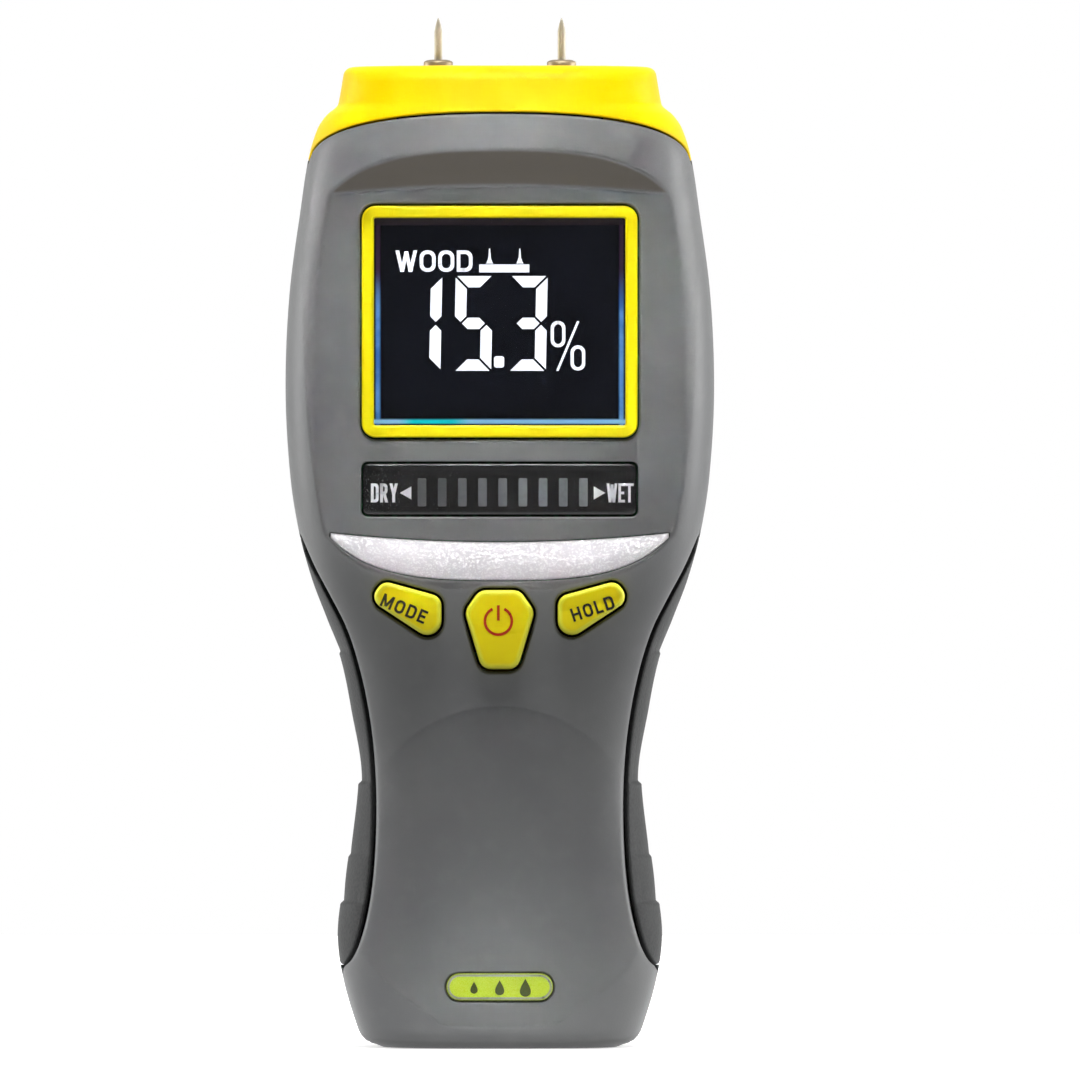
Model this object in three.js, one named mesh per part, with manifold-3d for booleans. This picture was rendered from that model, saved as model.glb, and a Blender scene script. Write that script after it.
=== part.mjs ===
// A pin moisture meter: two housing shells, a capped probe head with two needles, soft side grips,
// a framed display, a bar graph, three keys, a hinged battery door and everything inside.
// Millimetres. +Z runs up from the base to the probe pins, the display faces -Y, and the origin is on
// the base's flat face.
import * as THREE from 'three';
import { mergeVertices } from 'three/addons/utils/BufferGeometryUtils.js';
import Module from 'manifold-3d';

const wasm = await Module();
wasm.setup();

// ---------------------------------------------------------------- driving dimensions

const handleLength = 76.6; // base to the ridge under the display
const faceLength = 70.4; // that ridge to the brow's ridge above the display
const headLength = 14; // brow ridge to the flat top
const bodyWidth = 70.5; // widest, across the display
const baseWidth = 53.4; // across the flared foot
const waistWidth = 46.6; // narrowest, at the middle of the handle
const headWidth = 53.1; // across the block that carries the pins
const faceFront = 21.2; // centre plane to the front skin beside the display
const faceBack = 17.5; // centre plane to the back skin behind the display
const handleFront = 15.4;
const handleBack = 15.5;

const wall = 2.4;
const gap = 0.3; // between touching pieces
const partingPlane = 2; // the shells meet here, behind the origin, so the base's centre is on one shell

const flatDepth = 16.8; // centre plane to the flat that holds the display
const flatMargin = 7.35; // body's side to the tips of both facets
const browFacet = 5.6; // height of the facet above the flat
const trimFacet = 6.5; // height of the silver facet below it
const browRise = 3.8;
const trimRise = 3.8;
const creaseArch = 1.5; // both creases bow away from the display by this much

const gripDepth = 2; // thickness of the soft grips
const trimThickness = 0.9;

const bezelWidth = 45.1;
const bezelHeight = 37.9;
const bezelBand = 2;
const bezelRadius = 2.3;
const bezelProud = 0.5;
const displayHeight = 42.4; // above the lower ridge, to the display's centre
const lensThickness = 1;
const glassThickness = 2;
const backlightThickness = 2.4;

const barWidth = 45.3;
const barHeight = 9;
const barLevel = 15; // above the lower ridge
const barCount = 9;
const barPitch = 3.3;

const keyProud = 1.2;
const keyTravel = 0.6;
const keyDrop = 7.9; // below the ridge, to the power key's centre
const stemRadius = 1.5;
const plungerRadius = 1.6;
const switchSize = 6;

const boardThickness = 1.6;
const boardBack = 5.9; // centre plane to the board's back face, in front of it

const pinSpacing = 20.3;
const pinRadius = 0.65;
const pinLength = 8.3; // above the head's flat top
const pinDepth = 9; // below it
const pinTaper = 2.2;
const collarRadius = 2.4;
const collarHeight = 1.1;
const socketRadius = 2;

const batteryWidth = 26.5;
const batteryDepth = 17.5;
const batteryHeight = 46.4;
const batteryBase = 15.6;
const terminalHeight = 2;

const doorMargin = 1.95; // door's opening to the battery, each side
const doorClearance = 0.8; // door to battery
const doorBottom = 12;
const doorHeight = 54;
const doorThickness = 2;
const doorRadius = 3;

const screwRadius = 1.25;
const screwHeadRadius = 2.4;
const screwRecessRadius = 2.9;

// ---------------------------------------------------------------- worked-out places

const browRidge = handleLength + faceLength;
const bodyHeight = browRidge + headLength;
const upperCrease = browRidge - browFacet;
const lowerCrease = handleLength + trimFacet;
const displayCentre = handleLength + displayHeight;
const barCentre = handleLength + barLevel;
const keyCentre = handleLength - keyDrop;
const boardFront = boardBack + boardThickness;
const batteryTop = batteryBase + batteryHeight;
const doorWidth = batteryWidth + 2 * doorMargin;
const flatHalfWidth = bodyWidth / 2 - flatMargin;

// ---------------------------------------------------------------- solids

// A closed three.js geometry as a manifold solid.
function solid(geometry) {
  const bare = geometry.clone();
  bare.deleteAttribute('normal');
  bare.deleteAttribute('uv');
  const merged = mergeVertices(bare, 1e-4);
  return new wasm.Manifold(
    new wasm.Mesh({
      numProp: 3,
      vertProperties: merged.attributes.position.array,
      triVerts: new Uint32Array(merged.index.array),
    }),
  );
}

// A manifold solid as a three.js geometry.
function geometryOf(made) {
  const mesh = made.getMesh();
  const geometry = new THREE.BufferGeometry();
  geometry.setAttribute('position', new THREE.BufferAttribute(mesh.vertProperties, 3));
  geometry.setIndex(new THREE.BufferAttribute(mesh.triVerts, 1));
  return geometry;
}

// The biggest separate body of a solid, without the crumbs that a thin edge leaves.
function largest(made) {
  return made.decompose().reduce((a, b) => (a.volume() > b.volume() ? a : b));
}

// A smooth curve through [position, value] pairs: cubic spans with slopes from the neighbours.
function through(points) {
  const slopeAt = (i) => {
    const a = points[Math.max(i - 1, 0)];
    const b = points[Math.min(i + 1, points.length - 1)];
    return (b[1] - a[1]) / (b[0] - a[0]);
  };
  return (at) => {
    const t = Math.min(Math.max(at, points[0][0]), points[points.length - 1][0]);
    let i = 0;
    while (i < points.length - 2 && t > points[i + 1][0]) i += 1;
    const [p0, v0] = points[i];
    const [p1, v1] = points[i + 1];
    const span = p1 - p0;
    const s = (t - p0) / span;
    return (
      v0 * (1 + 2 * s) * (1 - s) ** 2 +
      v1 * s * s * (3 - 2 * s) +
      slopeAt(i) * span * s * (1 - s) ** 2 +
      slopeAt(i + 1) * span * s * s * (s - 1)
    );
  };
}

// Heights up the handle, the display face and the head, each as a share of its own length.
const onHandle = (share) => share * handleLength;
const onFace = (share) => handleLength + share * faceLength;
const onHead = (share) => browRidge + share * headLength;

const halfWidth = through([
  [0, baseWidth / 2 - 4.3],
  [onHandle(0.13), baseWidth / 2 - 1.2],
  [onHandle(0.235), baseWidth / 2],
  [onHandle(0.34), baseWidth / 2 - 0.8],
  [onHandle(0.58), waistWidth / 2],
  [onHandle(0.73), waistWidth / 2 + 1.4],
  [onHandle(0.835), waistWidth / 2 + 3],
  [onHandle(0.92), bodyWidth / 2 - 6.65],
  [onFace(0.007), bodyWidth / 2 - 4.25],
  [onFace(0.12), bodyWidth / 2 - 2.15],
  [onFace(0.25), bodyWidth / 2 - 0.75],
  [onFace(0.45), bodyWidth / 2],
  [onFace(0.67), bodyWidth / 2 - 0.65],
  [onFace(0.87), bodyWidth / 2 - 2.5],
  [onFace(0.985), bodyWidth / 2 - 3.75],
  [onHead(0.28), headWidth / 2 + 3.45],
  [onHead(0.44), headWidth / 2 + 1.95],
  [onHead(0.535), headWidth / 2 + 0.35],
  [onHead(0.585), headWidth / 2],
  [onHead(1), headWidth / 2 - 1],
]);

const frontDepth = through([
  [0, handleFront - 0.2],
  [onHandle(0.15), handleFront + 0.9],
  [onHandle(0.3), handleFront + 0.6],
  [onHandle(0.58), handleFront],
  [onHandle(0.76), handleFront + 1.2],
  [onHandle(0.88), faceFront - 2.4],
  [onHandle(0.97), faceFront - 0.9],
  [onFace(0.06), faceFront - 0.2],
  [onFace(0.45), faceFront],
  [onFace(0.87), faceFront + 0.6],
  [onFace(1), flatDepth + browRise],
  [onHead(0.3), flatDepth + 2.5],
  [onHead(0.55), flatDepth + 1.4],
  [onHead(1), flatDepth - 0.6],
]);

const backDepth = through([
  [0, handleBack - 0.5],
  [onHandle(0.12), handleBack],
  [onHandle(0.9), handleBack],
  [onFace(0.2), faceBack - 0.3],
  [onFace(0.4), faceBack],
  [onFace(0.95), faceBack],
  [onHead(0.55), faceBack - 1],
  [onHead(1), faceBack - 2.6],
]);

// How square the section is: 2 is an ellipse, more is squarer.
const frontSquareness = through([
  [0, 3],
  [onHandle(0.2), 2.8],
  [onHandle(0.58), 2.6],
  [onHandle(0.78), 2.7],
  [onFace(0.03), 3.8],
  [onFace(0.45), 3.6],
  [onFace(0.9), 3.4],
  [onHead(1), 3.2],
]);
const backSquareness = 3.6;

// Distance from the centre plane to the back skin at the waist, at the battery's edge, and the battery behind it.
const backAtBattery = handleBack * (1 - (batteryWidth / waistWidth) ** backSquareness) ** (1 / backSquareness);
const batteryMiddle = backAtBattery - doorThickness - doorClearance - batteryDepth / 2;

const footRound = 3;
const topRoundSide = 1.2;
const topRoundFront = 2.6;

// How far a rounded end has drawn in, from its distance to the end and its radius.
function roundedIn(distance, radius) {
  const into = Math.min(Math.max(radius - distance, 0), radius);
  return radius - Math.sqrt(radius ** 2 - into ** 2);
}

// Half width, front depth and back depth of the skin at a height, before any inset.
function sectionAt(z) {
  const foot = roundedIn(z, footRound);
  const above = bodyHeight - z;
  return {
    half: halfWidth(z) - foot - roundedIn(above, topRoundSide),
    front: frontDepth(z) - foot - roundedIn(above, topRoundFront),
    back: backDepth(z) - foot - roundedIn(above, topRoundFront),
    square: frontSquareness(z),
  };
}

// Distance from the centre plane to the front skin at a place on the front, without the display's flat.
function frontSkin(x, z) {
  const { half, front, square } = sectionAt(z);
  return front * (1 - Math.min(Math.abs(x) / half, 1) ** square) ** (1 / square);
}

// Heights of the loft's rings, closer together where the section changes quickly.
const ringLevels = [
  ...[0, 0.1, 0.4, 1].map((share) => share * footRound),
  ...[0.1, 0.16, 0.235, 0.34, 0.45, 0.58, 0.66, 0.74, 0.79, 0.835, 0.88, 0.92, 0.96].map(onHandle),
  ...[0, 0.04, 0.11, 0.22, 0.35, 0.5, 0.65, 0.8, 0.92].map(onFace),
  ...[0, 0.15, 0.29, 0.38, 0.45, 0.54, 0.585].map(onHead),
  ...[1, 0.65, 0.25, 0].map((share) => bodyHeight - share * topRoundFront),
];

// The body's loft, drawn in by an inset on the sides, front and back: a unit cylinder whose rings
// are moved out to the section at their height.
function body(inset = 0, { sideInset = inset, endInset = 0, segments = 32, levels = ringLevels } = {}) {
  const rows = levels.length - 1;
  const geometry = new THREE.CylinderGeometry(1, 1, 1, segments, rows);
  const place = geometry.attributes.position;
  for (let i = 0; i < place.count; i++) {
    const row = Math.round((place.getY(i) + 0.5) * rows);
    const z = levels[row];
    const across = place.getX(i);
    const along = place.getZ(i);
    const { half, front, back, square } = sectionAt(z);
    const power = 2 / (along > 0 ? square : backSquareness);
    const depth = along > 0 ? front : back;
    const side = typeof sideInset === 'function' ? sideInset(z) : sideInset;
    place.setXYZ(
      i,
      Math.sign(across) * Math.abs(across) ** power * (half - side),
      -Math.sign(along) * Math.abs(along) ** power * (depth - inset),
      THREE.MathUtils.clamp(z, endInset, bodyHeight - endInset),
    );
  }
  return solid(geometry);
}

// Everything in front of the display's flat and its two facets, moved back by an offset.
function beforeFlat(offset = 0) {
  const reach = 10;
  const geometry = new THREE.BoxGeometry(90, 1, 3, 12, 1, 3);
  const place = geometry.attributes.position;
  for (let i = 0; i < place.count; i++) {
    const x = place.getX(i);
    const bow = creaseArch * (x / flatHalfWidth) ** 2;
    const step = Math.round(place.getZ(i) + 1.5);
    const lower = lowerCrease + bow;
    const upper = upperCrease - bow;
    const z = [lower - reach, lower, upper, upper + reach][step];
    const rise = [(trimRise / trimFacet) * reach, 0, 0, (browRise / browFacet) * reach][step];
    const skin = -(flatDepth + rise - offset);
    place.setXYZ(i, x, place.getY(i) < 0 ? -60 : skin, z);
  }
  return solid(geometry);
}

// Height of the crease between the display's flat and the facet below it.
const creaseHeight = (x) => lowerCrease + creaseArch * (x / flatHalfWidth) ** 2;

// Height where the lower facet runs out of the front skin, found by halving.
function ridgeHeight(x) {
  let low = creaseHeight(x) - 2 * trimFacet;
  let high = creaseHeight(x);
  for (let i = 0; i < 30; i++) {
    const z = (low + high) / 2;
    const facet = flatDepth + ((creaseHeight(x) - z) * trimRise) / trimFacet;
    if (facet < frontSkin(x, z)) high = z;
    else low = z;
  }
  return high;
}

// The silver facet between two depths behind its surface, drawn in from its outline by a clearance.
function facetBand(outer, inner, clearance) {
  const reach = 10;
  const geometry = new THREE.BoxGeometry(70, 1, 1, 12, 1, 1);
  const place = geometry.attributes.position;
  for (let i = 0; i < place.count; i++) {
    const x = place.getX(i);
    const drop = place.getZ(i) > 0 ? 0 : reach;
    const depth = place.getY(i) < 0 ? outer : inner;
    place.setXYZ(i, x, -(flatDepth + (drop * trimRise) / trimFacet - depth), creaseHeight(x) - drop);
  }
  const steps = 20;
  const tip = flatHalfWidth - 2 * clearance;
  const along = Array.from({ length: steps + 1 }, (_, i) => -tip * Math.cos((i * Math.PI) / steps));
  const lower = along.map((x) => new THREE.Vector2(x, Math.min(ridgeHeight(x) + clearance, creaseHeight(x) - clearance - 0.1)));
  const upper = along.map((x) => new THREE.Vector2(x, creaseHeight(x) - clearance)).reverse();
  return solid(geometry).intersect(through2d(new THREE.Shape([...lower, ...upper]), -60, 0));
}

// A box from its low corner to its high corner.
function box(low, high) {
  const size = high.map((value, i) => value - low[i]);
  const geometry = new THREE.BoxGeometry(...size);
  geometry.translate(...low.map((value, i) => value + size[i] / 2));
  return solid(geometry);
}

// A shape drawn in X and Z, pushed through from one depth to another.
function through2d(shape, front, back, curveSegments = 2) {
  const geometry = new THREE.ExtrudeGeometry(shape, { depth: back - front, bevelEnabled: false, curveSegments });
  geometry.rotateX(Math.PI / 2);
  geometry.translate(0, back, 0);
  return solid(geometry);
}

// A cylinder along Y.
function rod(radius, x, z, front, back, sides = 16) {
  const geometry = new THREE.CylinderGeometry(radius, radius, back - front, sides);
  geometry.translate(x, (front + back) / 2, z);
  return solid(geometry);
}

// A turned piece on a vertical axis, from [radius, height] pairs that start and end on the axis or close.
function turned(profile, x, y, sides = 16) {
  const geometry = new THREE.LatheGeometry(profile.map((p) => new THREE.Vector2(...p)), sides);
  geometry.rotateX(Math.PI / 2);
  geometry.translate(x, y, 0);
  return solid(geometry);
}

function roundedBox(width, height, radius, x, z) {
  const [w, h] = [width / 2 - radius, height / 2 - radius];
  const shape = new THREE.Shape();
  shape.absarc(x + w, z + h, radius, 0, Math.PI / 2);
  shape.absarc(x - w, z + h, radius, Math.PI / 2, Math.PI);
  shape.absarc(x - w, z - h, radius, Math.PI, Math.PI * 1.5);
  shape.absarc(x + w, z - h, radius, Math.PI * 1.5, Math.PI * 2);
  return shape;
}

// A polygon of [x, z, radius] corners in anticlockwise order, grown outwards, with each corner rounded.
function roundedPolygon(corners, grow = 0) {
  const steps = 3;
  const points = [];
  corners.forEach(([x, z, radius], i) => {
    const here = new THREE.Vector2(x, z);
    const before = corners[(i + corners.length - 1) % corners.length];
    const after = corners[(i + 1) % corners.length];
    const back = new THREE.Vector2(before[0], before[1]).sub(here).normalize();
    const on = new THREE.Vector2(after[0], after[1]).sub(here).normalize();
    const half = Math.acos(back.dot(on)) / 2;
    const inwards = back.clone().add(on).normalize();
    const centre = here.clone().addScaledVector(inwards, radius / Math.sin(half));
    const start = Math.atan2(-inwards.y, -inwards.x) - (Math.PI / 2 - half);
    for (let k = 0; k <= steps; k++) {
      const angle = start + ((Math.PI - 2 * half) * k) / steps;
      const reach = radius + grow;
      points.push(new THREE.Vector2(centre.x + reach * Math.cos(angle), centre.y + reach * Math.sin(angle)));
    }
  });
  return new THREE.Shape(points);
}

// A round wire along a smooth path.
function wire(radius, points, steps = 9) {
  const turns = 6;
  const section = new THREE.Shape();
  section.absarc(0, 0, radius, 0, Math.PI * 2);
  const extrudePath = new THREE.CatmullRomCurve3(points.map((p) => new THREE.Vector3(...p)));
  return solid(new THREE.ExtrudeGeometry(section, { steps, curveSegments: turns / 2, extrudePath }));
}

// ---------------------------------------------------------------- materials

const finish = (color, roughness, metalness = 0) => new THREE.MeshStandardMaterial({ color, roughness, metalness });
const greyPlastic = finish(0x7b7c7b, 0.5);
const yellowPlastic = finish(0xf7dc08, 0.35);
const keyPlastic = finish(0xdfd913, 0.35);
const blackPlastic = finish(0x141414, 0.35);
const softRubber = finish(0x4a4b4b, 0.8);
const silverPaint = finish(0xd9d8da, 0.35, 0.4);
const badgePaint = finish(0xb5cc1f, 0.4);
const clearPlastic = finish(0xdfe6ea, 0.05);
const displayGlass = finish(0x15171f, 0.08);
const whitePlastic = finish(0xe8e8e4, 0.5);
const boardGreen = finish(0x1f6b3a, 0.5);
const chipBlack = finish(0x1b1b1d, 0.5);
const steel = finish(0xb8b8b4, 0.25, 1);
const brass = finish(0xc2a04d, 0.3, 1);
const nickel = finish(0xb9ad90, 0.3, 1);
const redWire = finish(0xb5201d, 0.5);
const blackWire = finish(0x1a1a1a, 0.5);
const foam = finish(0x2b2b2b, 0.95);
const ledAmber = finish(0xd8d5c8, 0.3);
const labelSilver = finish(0xc9cbcd, 0.4, 0.3);
const batteryPaint = finish(0x3a4a5c, 0.35, 0.3);

const meter = new THREE.Group();

function add(name, made, material) {
  const mesh = new THREE.Mesh(made.isBufferGeometry ? made : geometryOf(made), material);
  mesh.name = name;
  meter.add(mesh);
}

// ---------------------------------------------------------------- housing

// Where the yellow head meets the grey shells, drawn across the front: high in the middle, low at the sides.
const seamRise = 7.7;
const seamPower = 2.3;
const seamHalf = bodyWidth / 2 - 4;
const seamTop = onHead(0.436);

function seamHeight(x) {
  return seamTop - seamRise * (1 - (1 - Math.min(Math.abs(x) / seamHalf, 1) ** seamPower) ** (1 / seamPower));
}

// All of the space above the seam, raised or lowered by an offset.
function aboveSeam(offset) {
  const reach = 50;
  const steps = 24;
  const shape = new THREE.Shape();
  shape.moveTo(reach, bodyHeight + reach);
  shape.lineTo(-reach, bodyHeight + reach);
  for (let i = 0; i <= steps; i++) {
    const x = -Math.cos((i * Math.PI) / steps) * seamHalf;
    if (i === 0) shape.lineTo(-reach, seamHeight(x) + offset);
    shape.lineTo(x, seamHeight(x) + offset);
    if (i === steps) shape.lineTo(reach, seamHeight(x) + offset);
  }
  return through2d(shape, -reach, reach);
}

// The inner edge of a side grip: half the width of the hard front face at each height.
const gripLow = onHandle(0.171);
const gripHigh = onFace(0.11);
const gripEdge = through([
  [gripLow, baseWidth / 2 - 0.4],
  [onHandle(0.188), baseWidth / 2 - 1.9],
  [onHandle(0.225), baseWidth / 2 - 3.4],
  [onHandle(0.29), waistWidth / 2 - 1.4],
  [onHandle(0.37), waistWidth / 2 - 2.3],
  [onHandle(0.47), waistWidth / 2 - 2.7],
  [onHandle(0.58), waistWidth / 2 - 2.55],
  [onHandle(0.69), waistWidth / 2 - 1.8],
  [onHandle(0.8), waistWidth / 2 - 0.2],
  [onHandle(0.895), waistWidth / 2 + 2],
  [onHandle(0.967), bodyWidth / 2 - 7.2],
  [onFace(0.034), bodyWidth / 2 - 4.5],
  [gripHigh, bodyWidth / 2 - 2],
]);

// The space beyond a grip's inner edge on one side, drawn back by a clearance.
function gripSpace(side, clearance) {
  const steps = 22;
  const reach = 50;
  const points = [new THREE.Vector2(side * reach, gripHigh - clearance), new THREE.Vector2(side * reach, gripLow + clearance)];
  for (let i = 0; i <= steps; i++) {
    const z = THREE.MathUtils.lerp(gripLow + clearance, gripHigh - clearance, i / steps);
    points.push(new THREE.Vector2(side * (gripEdge(z) + clearance), z));
  }
  return through2d(new THREE.Shape(points), -reach, reach);
}

const outside = body();
const outsideCut = outside.subtract(beforeFlat());
const pocketFloor = body(gripDepth + gap);

// The hollow: the handle's sides are thicker, because the grips are let into them.
const handleSide = gripDepth + gap + 2;
const sideWall = (z) => THREE.MathUtils.lerp(handleSide, wall, THREE.MathUtils.smoothstep(z, gripHigh, gripHigh + 10));
const innerLoft = { endInset: wall, segments: 24, levels: ringLevels.filter((z, i) => i % 3 === 0) };
const hollow = body(wall, { sideInset: sideWall, ...innerLoft }).subtract(beforeFlat(wall));

const gripPockets = [-1, 1].map((side) => gripSpace(side, 0).subtract(pocketFloor));
const casing = gripPockets.reduce((made, pocket) => made.subtract(pocket), outsideCut.subtract(hollow));

const far = 60;
const frontHalf = box([-far, -far, -far], [far, partingPlane - gap / 2, bodyHeight + far]);
const rearHalf = box([-far, partingPlane + gap / 2, -far], [far, far, bodyHeight + far]);
const belowHead = aboveSeam(-gap / 2);

// Screw places: two under the head and two in the foot.
const topScrew = headWidth / 2 - 7.5;
const footScrew = baseWidth / 2 - 11.7;
const screwPlaces = [
  [-topScrew, browRidge - 2],
  [topScrew, browRidge - 2],
  [-footScrew, 7],
  [footScrew, 7],
];
const screwHeadBack = 11; // behind the centre plane
const bossRadius = 3.6;
const bossFront = -4; // the front bosses end just in front of the parting plane
const pilotDepth = 5;

// Key outlines on the front. The outer keys mirror each other.
const powerCorners = [
  [-3, keyCentre + 6.3, 1.2],
  [-5.5, keyCentre + 2.7, 1.8],
  [-2.7, keyCentre - 6.3, 1.6],
  [2.7, keyCentre - 6.3, 1.6],
  [5.5, keyCentre + 2.7, 1.8],
  [3, keyCentre + 6.3, 1.2],
];
const sideCorners = [
  [9.7, keyCentre + 5.1, 1.3],
  [9.7, keyCentre - 2.7, 2.1],
  [21.3, keyCentre + 4.8, 1.3],
  [19.2, keyCentre + 7.6, 1.2],
];
const mirrored = (corners) => corners.map(([x, z, r]) => [-x, z, r]).reverse();
const boardEdge = bodyWidth / 2 - 9.65;
const keys = [
  { name: 'mode', corners: mirrored(sideCorners), x: -14.4, z: keyCentre + 3 },
  { name: 'power', corners: powerCorners, x: 0, z: keyCentre },
  { name: 'hold', corners: sideCorners, x: 14.4, z: keyCentre + 3 },
];

const boardScrews = [2 - boardEdge, boardEdge - 2].map((x) => [x, displayCentre + bezelHeight / 2 - 0.4]);
const boardBossRadius = 2.2;
const boardScrewRadius = 0.9;

const badgeWidth = 17.4;
const badgeHeight = 4.4;
const badgeLevel = 10.2;
const plateWidth = 34;
const plateHeight = 22;
const plateLevel = displayCentre - 4;
const labelDepth = 0.25;

function frontShell() {
  let made = casing.intersect(frontHalf).subtract(belowHead);
  for (const [x, z] of screwPlaces) {
    const boss = rod(bossRadius, x, z, -far, partingPlane - gap / 2 - 1).intersect(outsideCut);
    made = made.add(boss.intersect(body(wall / 2)));
  }
  for (const [x, z] of boardScrews) {
    made = made.add(rod(boardBossRadius, x, z, -far, -boardFront - gap).intersect(body(wall / 2).subtract(beforeFlat(1))));
  }
  const cuts = [
    through2d(roundedBox(bezelWidth + 2 * gap, bezelHeight + 2 * gap, bezelRadius + gap, 0, displayCentre), -far, -10),
    through2d(roundedBox(barWidth, barHeight, 1, 0, barCentre), -far, -10),
    facetBand(-3, trimThickness + gap, 0),
    ...keys.map((key) => through2d(roundedPolygon(key.corners, gap), -far, -8)),
    ...screwPlaces.map(([x, z]) => rod(screwRadius + gap, x, z, bossFront - pilotDepth, far)),
    ...boardScrews.map(([x, z]) => rod(boardScrewRadius + gap, x, z, -boardFront - 4, far)),
    through2d(roundedBox(badgeWidth + 2 * gap, badgeHeight + 2 * gap, badgeHeight / 2, 0, badgeLevel), -far, 0).subtract(
      body(labelDepth + gap),
    ),
  ];
  for (const cut of cuts) made = made.subtract(cut);
  return largest(made);
}

function rearShell() {
  let made = casing.intersect(rearHalf).subtract(belowHead);
  const inside = body(wall / 2);
  for (const [x, z] of screwPlaces) made = made.add(rod(bossRadius, x, z, partingPlane + gap / 2, far).intersect(inside));
  const ribInner = batteryWidth / 2 + 0.6;
  for (const side of [-1, 1]) {
    const [low, high] = [side * ribInner, side * (ribInner + wall)].sort((a, b) => a - b);
    const rib = box([low, partingPlane + gap / 2, doorBottom + 3.5], [high, far, doorBottom + doorHeight]);
    made = made.add(rib.intersect(inside));
  }
  const cuts = [
    through2d(roundedBox(doorWidth, doorHeight, doorRadius, 0, doorBottom + doorHeight / 2), batteryMiddle, far),
    ...screwPlaces.map(([x, z]) => rod(screwRadius + gap, x, z, -far, far)),
    ...screwPlaces.map(([x, z]) => rod(screwRecessRadius, x, z, screwHeadBack - 2.4, far)),
    through2d(roundedBox(plateWidth + 2 * gap, plateHeight + 2 * gap, 2, 0, plateLevel), 0, far).subtract(
      body(labelDepth + gap),
    ),
  ];
  for (const cut of cuts) made = made.subtract(cut);
  return largest(made);
}

const pinPlaces = [-pinSpacing / 2, pinSpacing / 2];

function headCap() {
  let made = casing.intersect(aboveSeam(gap / 2));
  for (const x of pinPlaces) {
    made = made.subtract(turned([[0, 100], [socketRadius + gap, 100], [socketRadius + gap, 200], [0, 200]], x, 0));
  }
  return largest(made);
}

add('front_shell', frontShell(), greyPlastic);
add('rear_shell', rearShell(), greyPlastic);
add('head_cap', headCap(), yellowPlastic);
['left_grip', 'right_grip'].forEach((name, i) => {
  const space = gripSpace(i === 0 ? -1 : 1, gap);
  add(name, largest(outside.subtract(body(gripDepth)).intersect(space)), softRubber);
});

// ---------------------------------------------------------------- display

const bezelFront = -(flatDepth + bezelProud);
const lipDepth = 1.1;
const lensFront = bezelFront + lipDepth + gap;
const glassFront = lensFront + lensThickness + gap;
const backlightFront = glassFront + glassThickness + gap;
const windowWidth = bezelWidth - 2 * bezelBand;
const windowHeight = bezelHeight - 2 * bezelBand;
const lensWidth = windowWidth + 1.6;
const lensHeight = windowHeight + 1.6;

function bezel() {
  const outer = through2d(roundedBox(bezelWidth, bezelHeight, bezelRadius, 0, displayCentre), bezelFront, lensFront + 1.6);
  const opening = through2d(roundedBox(windowWidth, windowHeight, 1.2, 0, displayCentre), -far, 0);
  const seat = through2d(
    roundedBox(lensWidth + 2 * gap, lensHeight + 2 * gap, 1.2, 0, displayCentre),
    bezelFront + lipDepth,
    0,
  );
  return outer.subtract(opening).subtract(seat);
}

add('display_bezel', bezel(), yellowPlastic);
add(
  'display_lens',
  through2d(roundedBox(lensWidth, lensHeight, 1, 0, displayCentre), lensFront, lensFront + lensThickness),
  clearPlastic,
);
add(
  'display_glass',
  through2d(roundedBox(lensWidth, lensHeight, 0.5, 0, displayCentre), glassFront, glassFront + glassThickness),
  displayGlass,
);
const stripHeight = 2.6;
const glassBottom = displayCentre - lensHeight / 2;
const backlightHalf = Math.min(lensWidth / 2, boardEdge - 2 - boardBossRadius - gap);
add(
  'display_backlight',
  box(
    [-backlightHalf, backlightFront, glassBottom + stripHeight + gap],
    [backlightHalf, backlightFront + backlightThickness, glassBottom + lensHeight],
  ),
  whitePlastic,
);
add(
  'display_connector',
  box([-18, backlightFront, glassBottom], [18, -boardFront - gap, glassBottom + stripHeight]),
  chipBlack,
);

// ---------------------------------------------------------------- bar graph

const barFront = -(flatDepth - 0.2);
const barBack = barFront + 2.2;
add('bar_window', through2d(roundedBox(barWidth - 2 * gap, barHeight - 2 * gap, 0.8, 0, barCentre), barFront, barBack), blackPlastic);

const barPlaces = Array.from({ length: barCount }, (_, i) => (i - (barCount - 1) / 2) * barPitch);

function baffle() {
  let made = box([-19, barBack + gap, barCentre - 3.5], [19, -boardFront - gap, barCentre + 3.5]);
  for (const x of barPlaces) made = made.subtract(box([x - 0.9, -far, barCentre - 2.4], [x + 0.9, far, barCentre + 2.4]));
  return made;
}

add('bar_baffle', baffle(), blackPlastic);
barPlaces.forEach((x, i) => {
  const low = [x - 0.6, -boardFront - gap - 1.4, barCentre - 2.1];
  add(`bar_led_${i + 1}`, box(low, [x + 0.6, -boardFront - gap, barCentre + 2.1]), ledAmber);
});

// ---------------------------------------------------------------- trim and badge

add('silver_trim', largest(outside.intersect(facetBand(0, trimThickness, gap))), silverPaint);
add(
  'badge',
  through2d(roundedBox(badgeWidth, badgeHeight, badgeHeight / 2 - 0.01, 0, badgeLevel), -far, 0)
    .intersect(body(-0.15))
    .subtract(body(labelDepth)),
  badgePaint,
);
add(
  'rating_plate',
  through2d(roundedBox(plateWidth, plateHeight, 1.8, 0, plateLevel), 0, far)
    .intersect(outside)
    .subtract(body(labelDepth)),
  labelSilver,
);

// ---------------------------------------------------------------- keys and switches

const switchFront = -boardFront - gap - 3.4;
const boreDepth = 2.2;
const plungerFront = switchFront - 1.2;
const plungerBack = switchFront + boreDepth - keyTravel - gap;
const flangeInset = wall + gap;
const flangeLip = 0.9;
const flangeThickness = 0.8;

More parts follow.
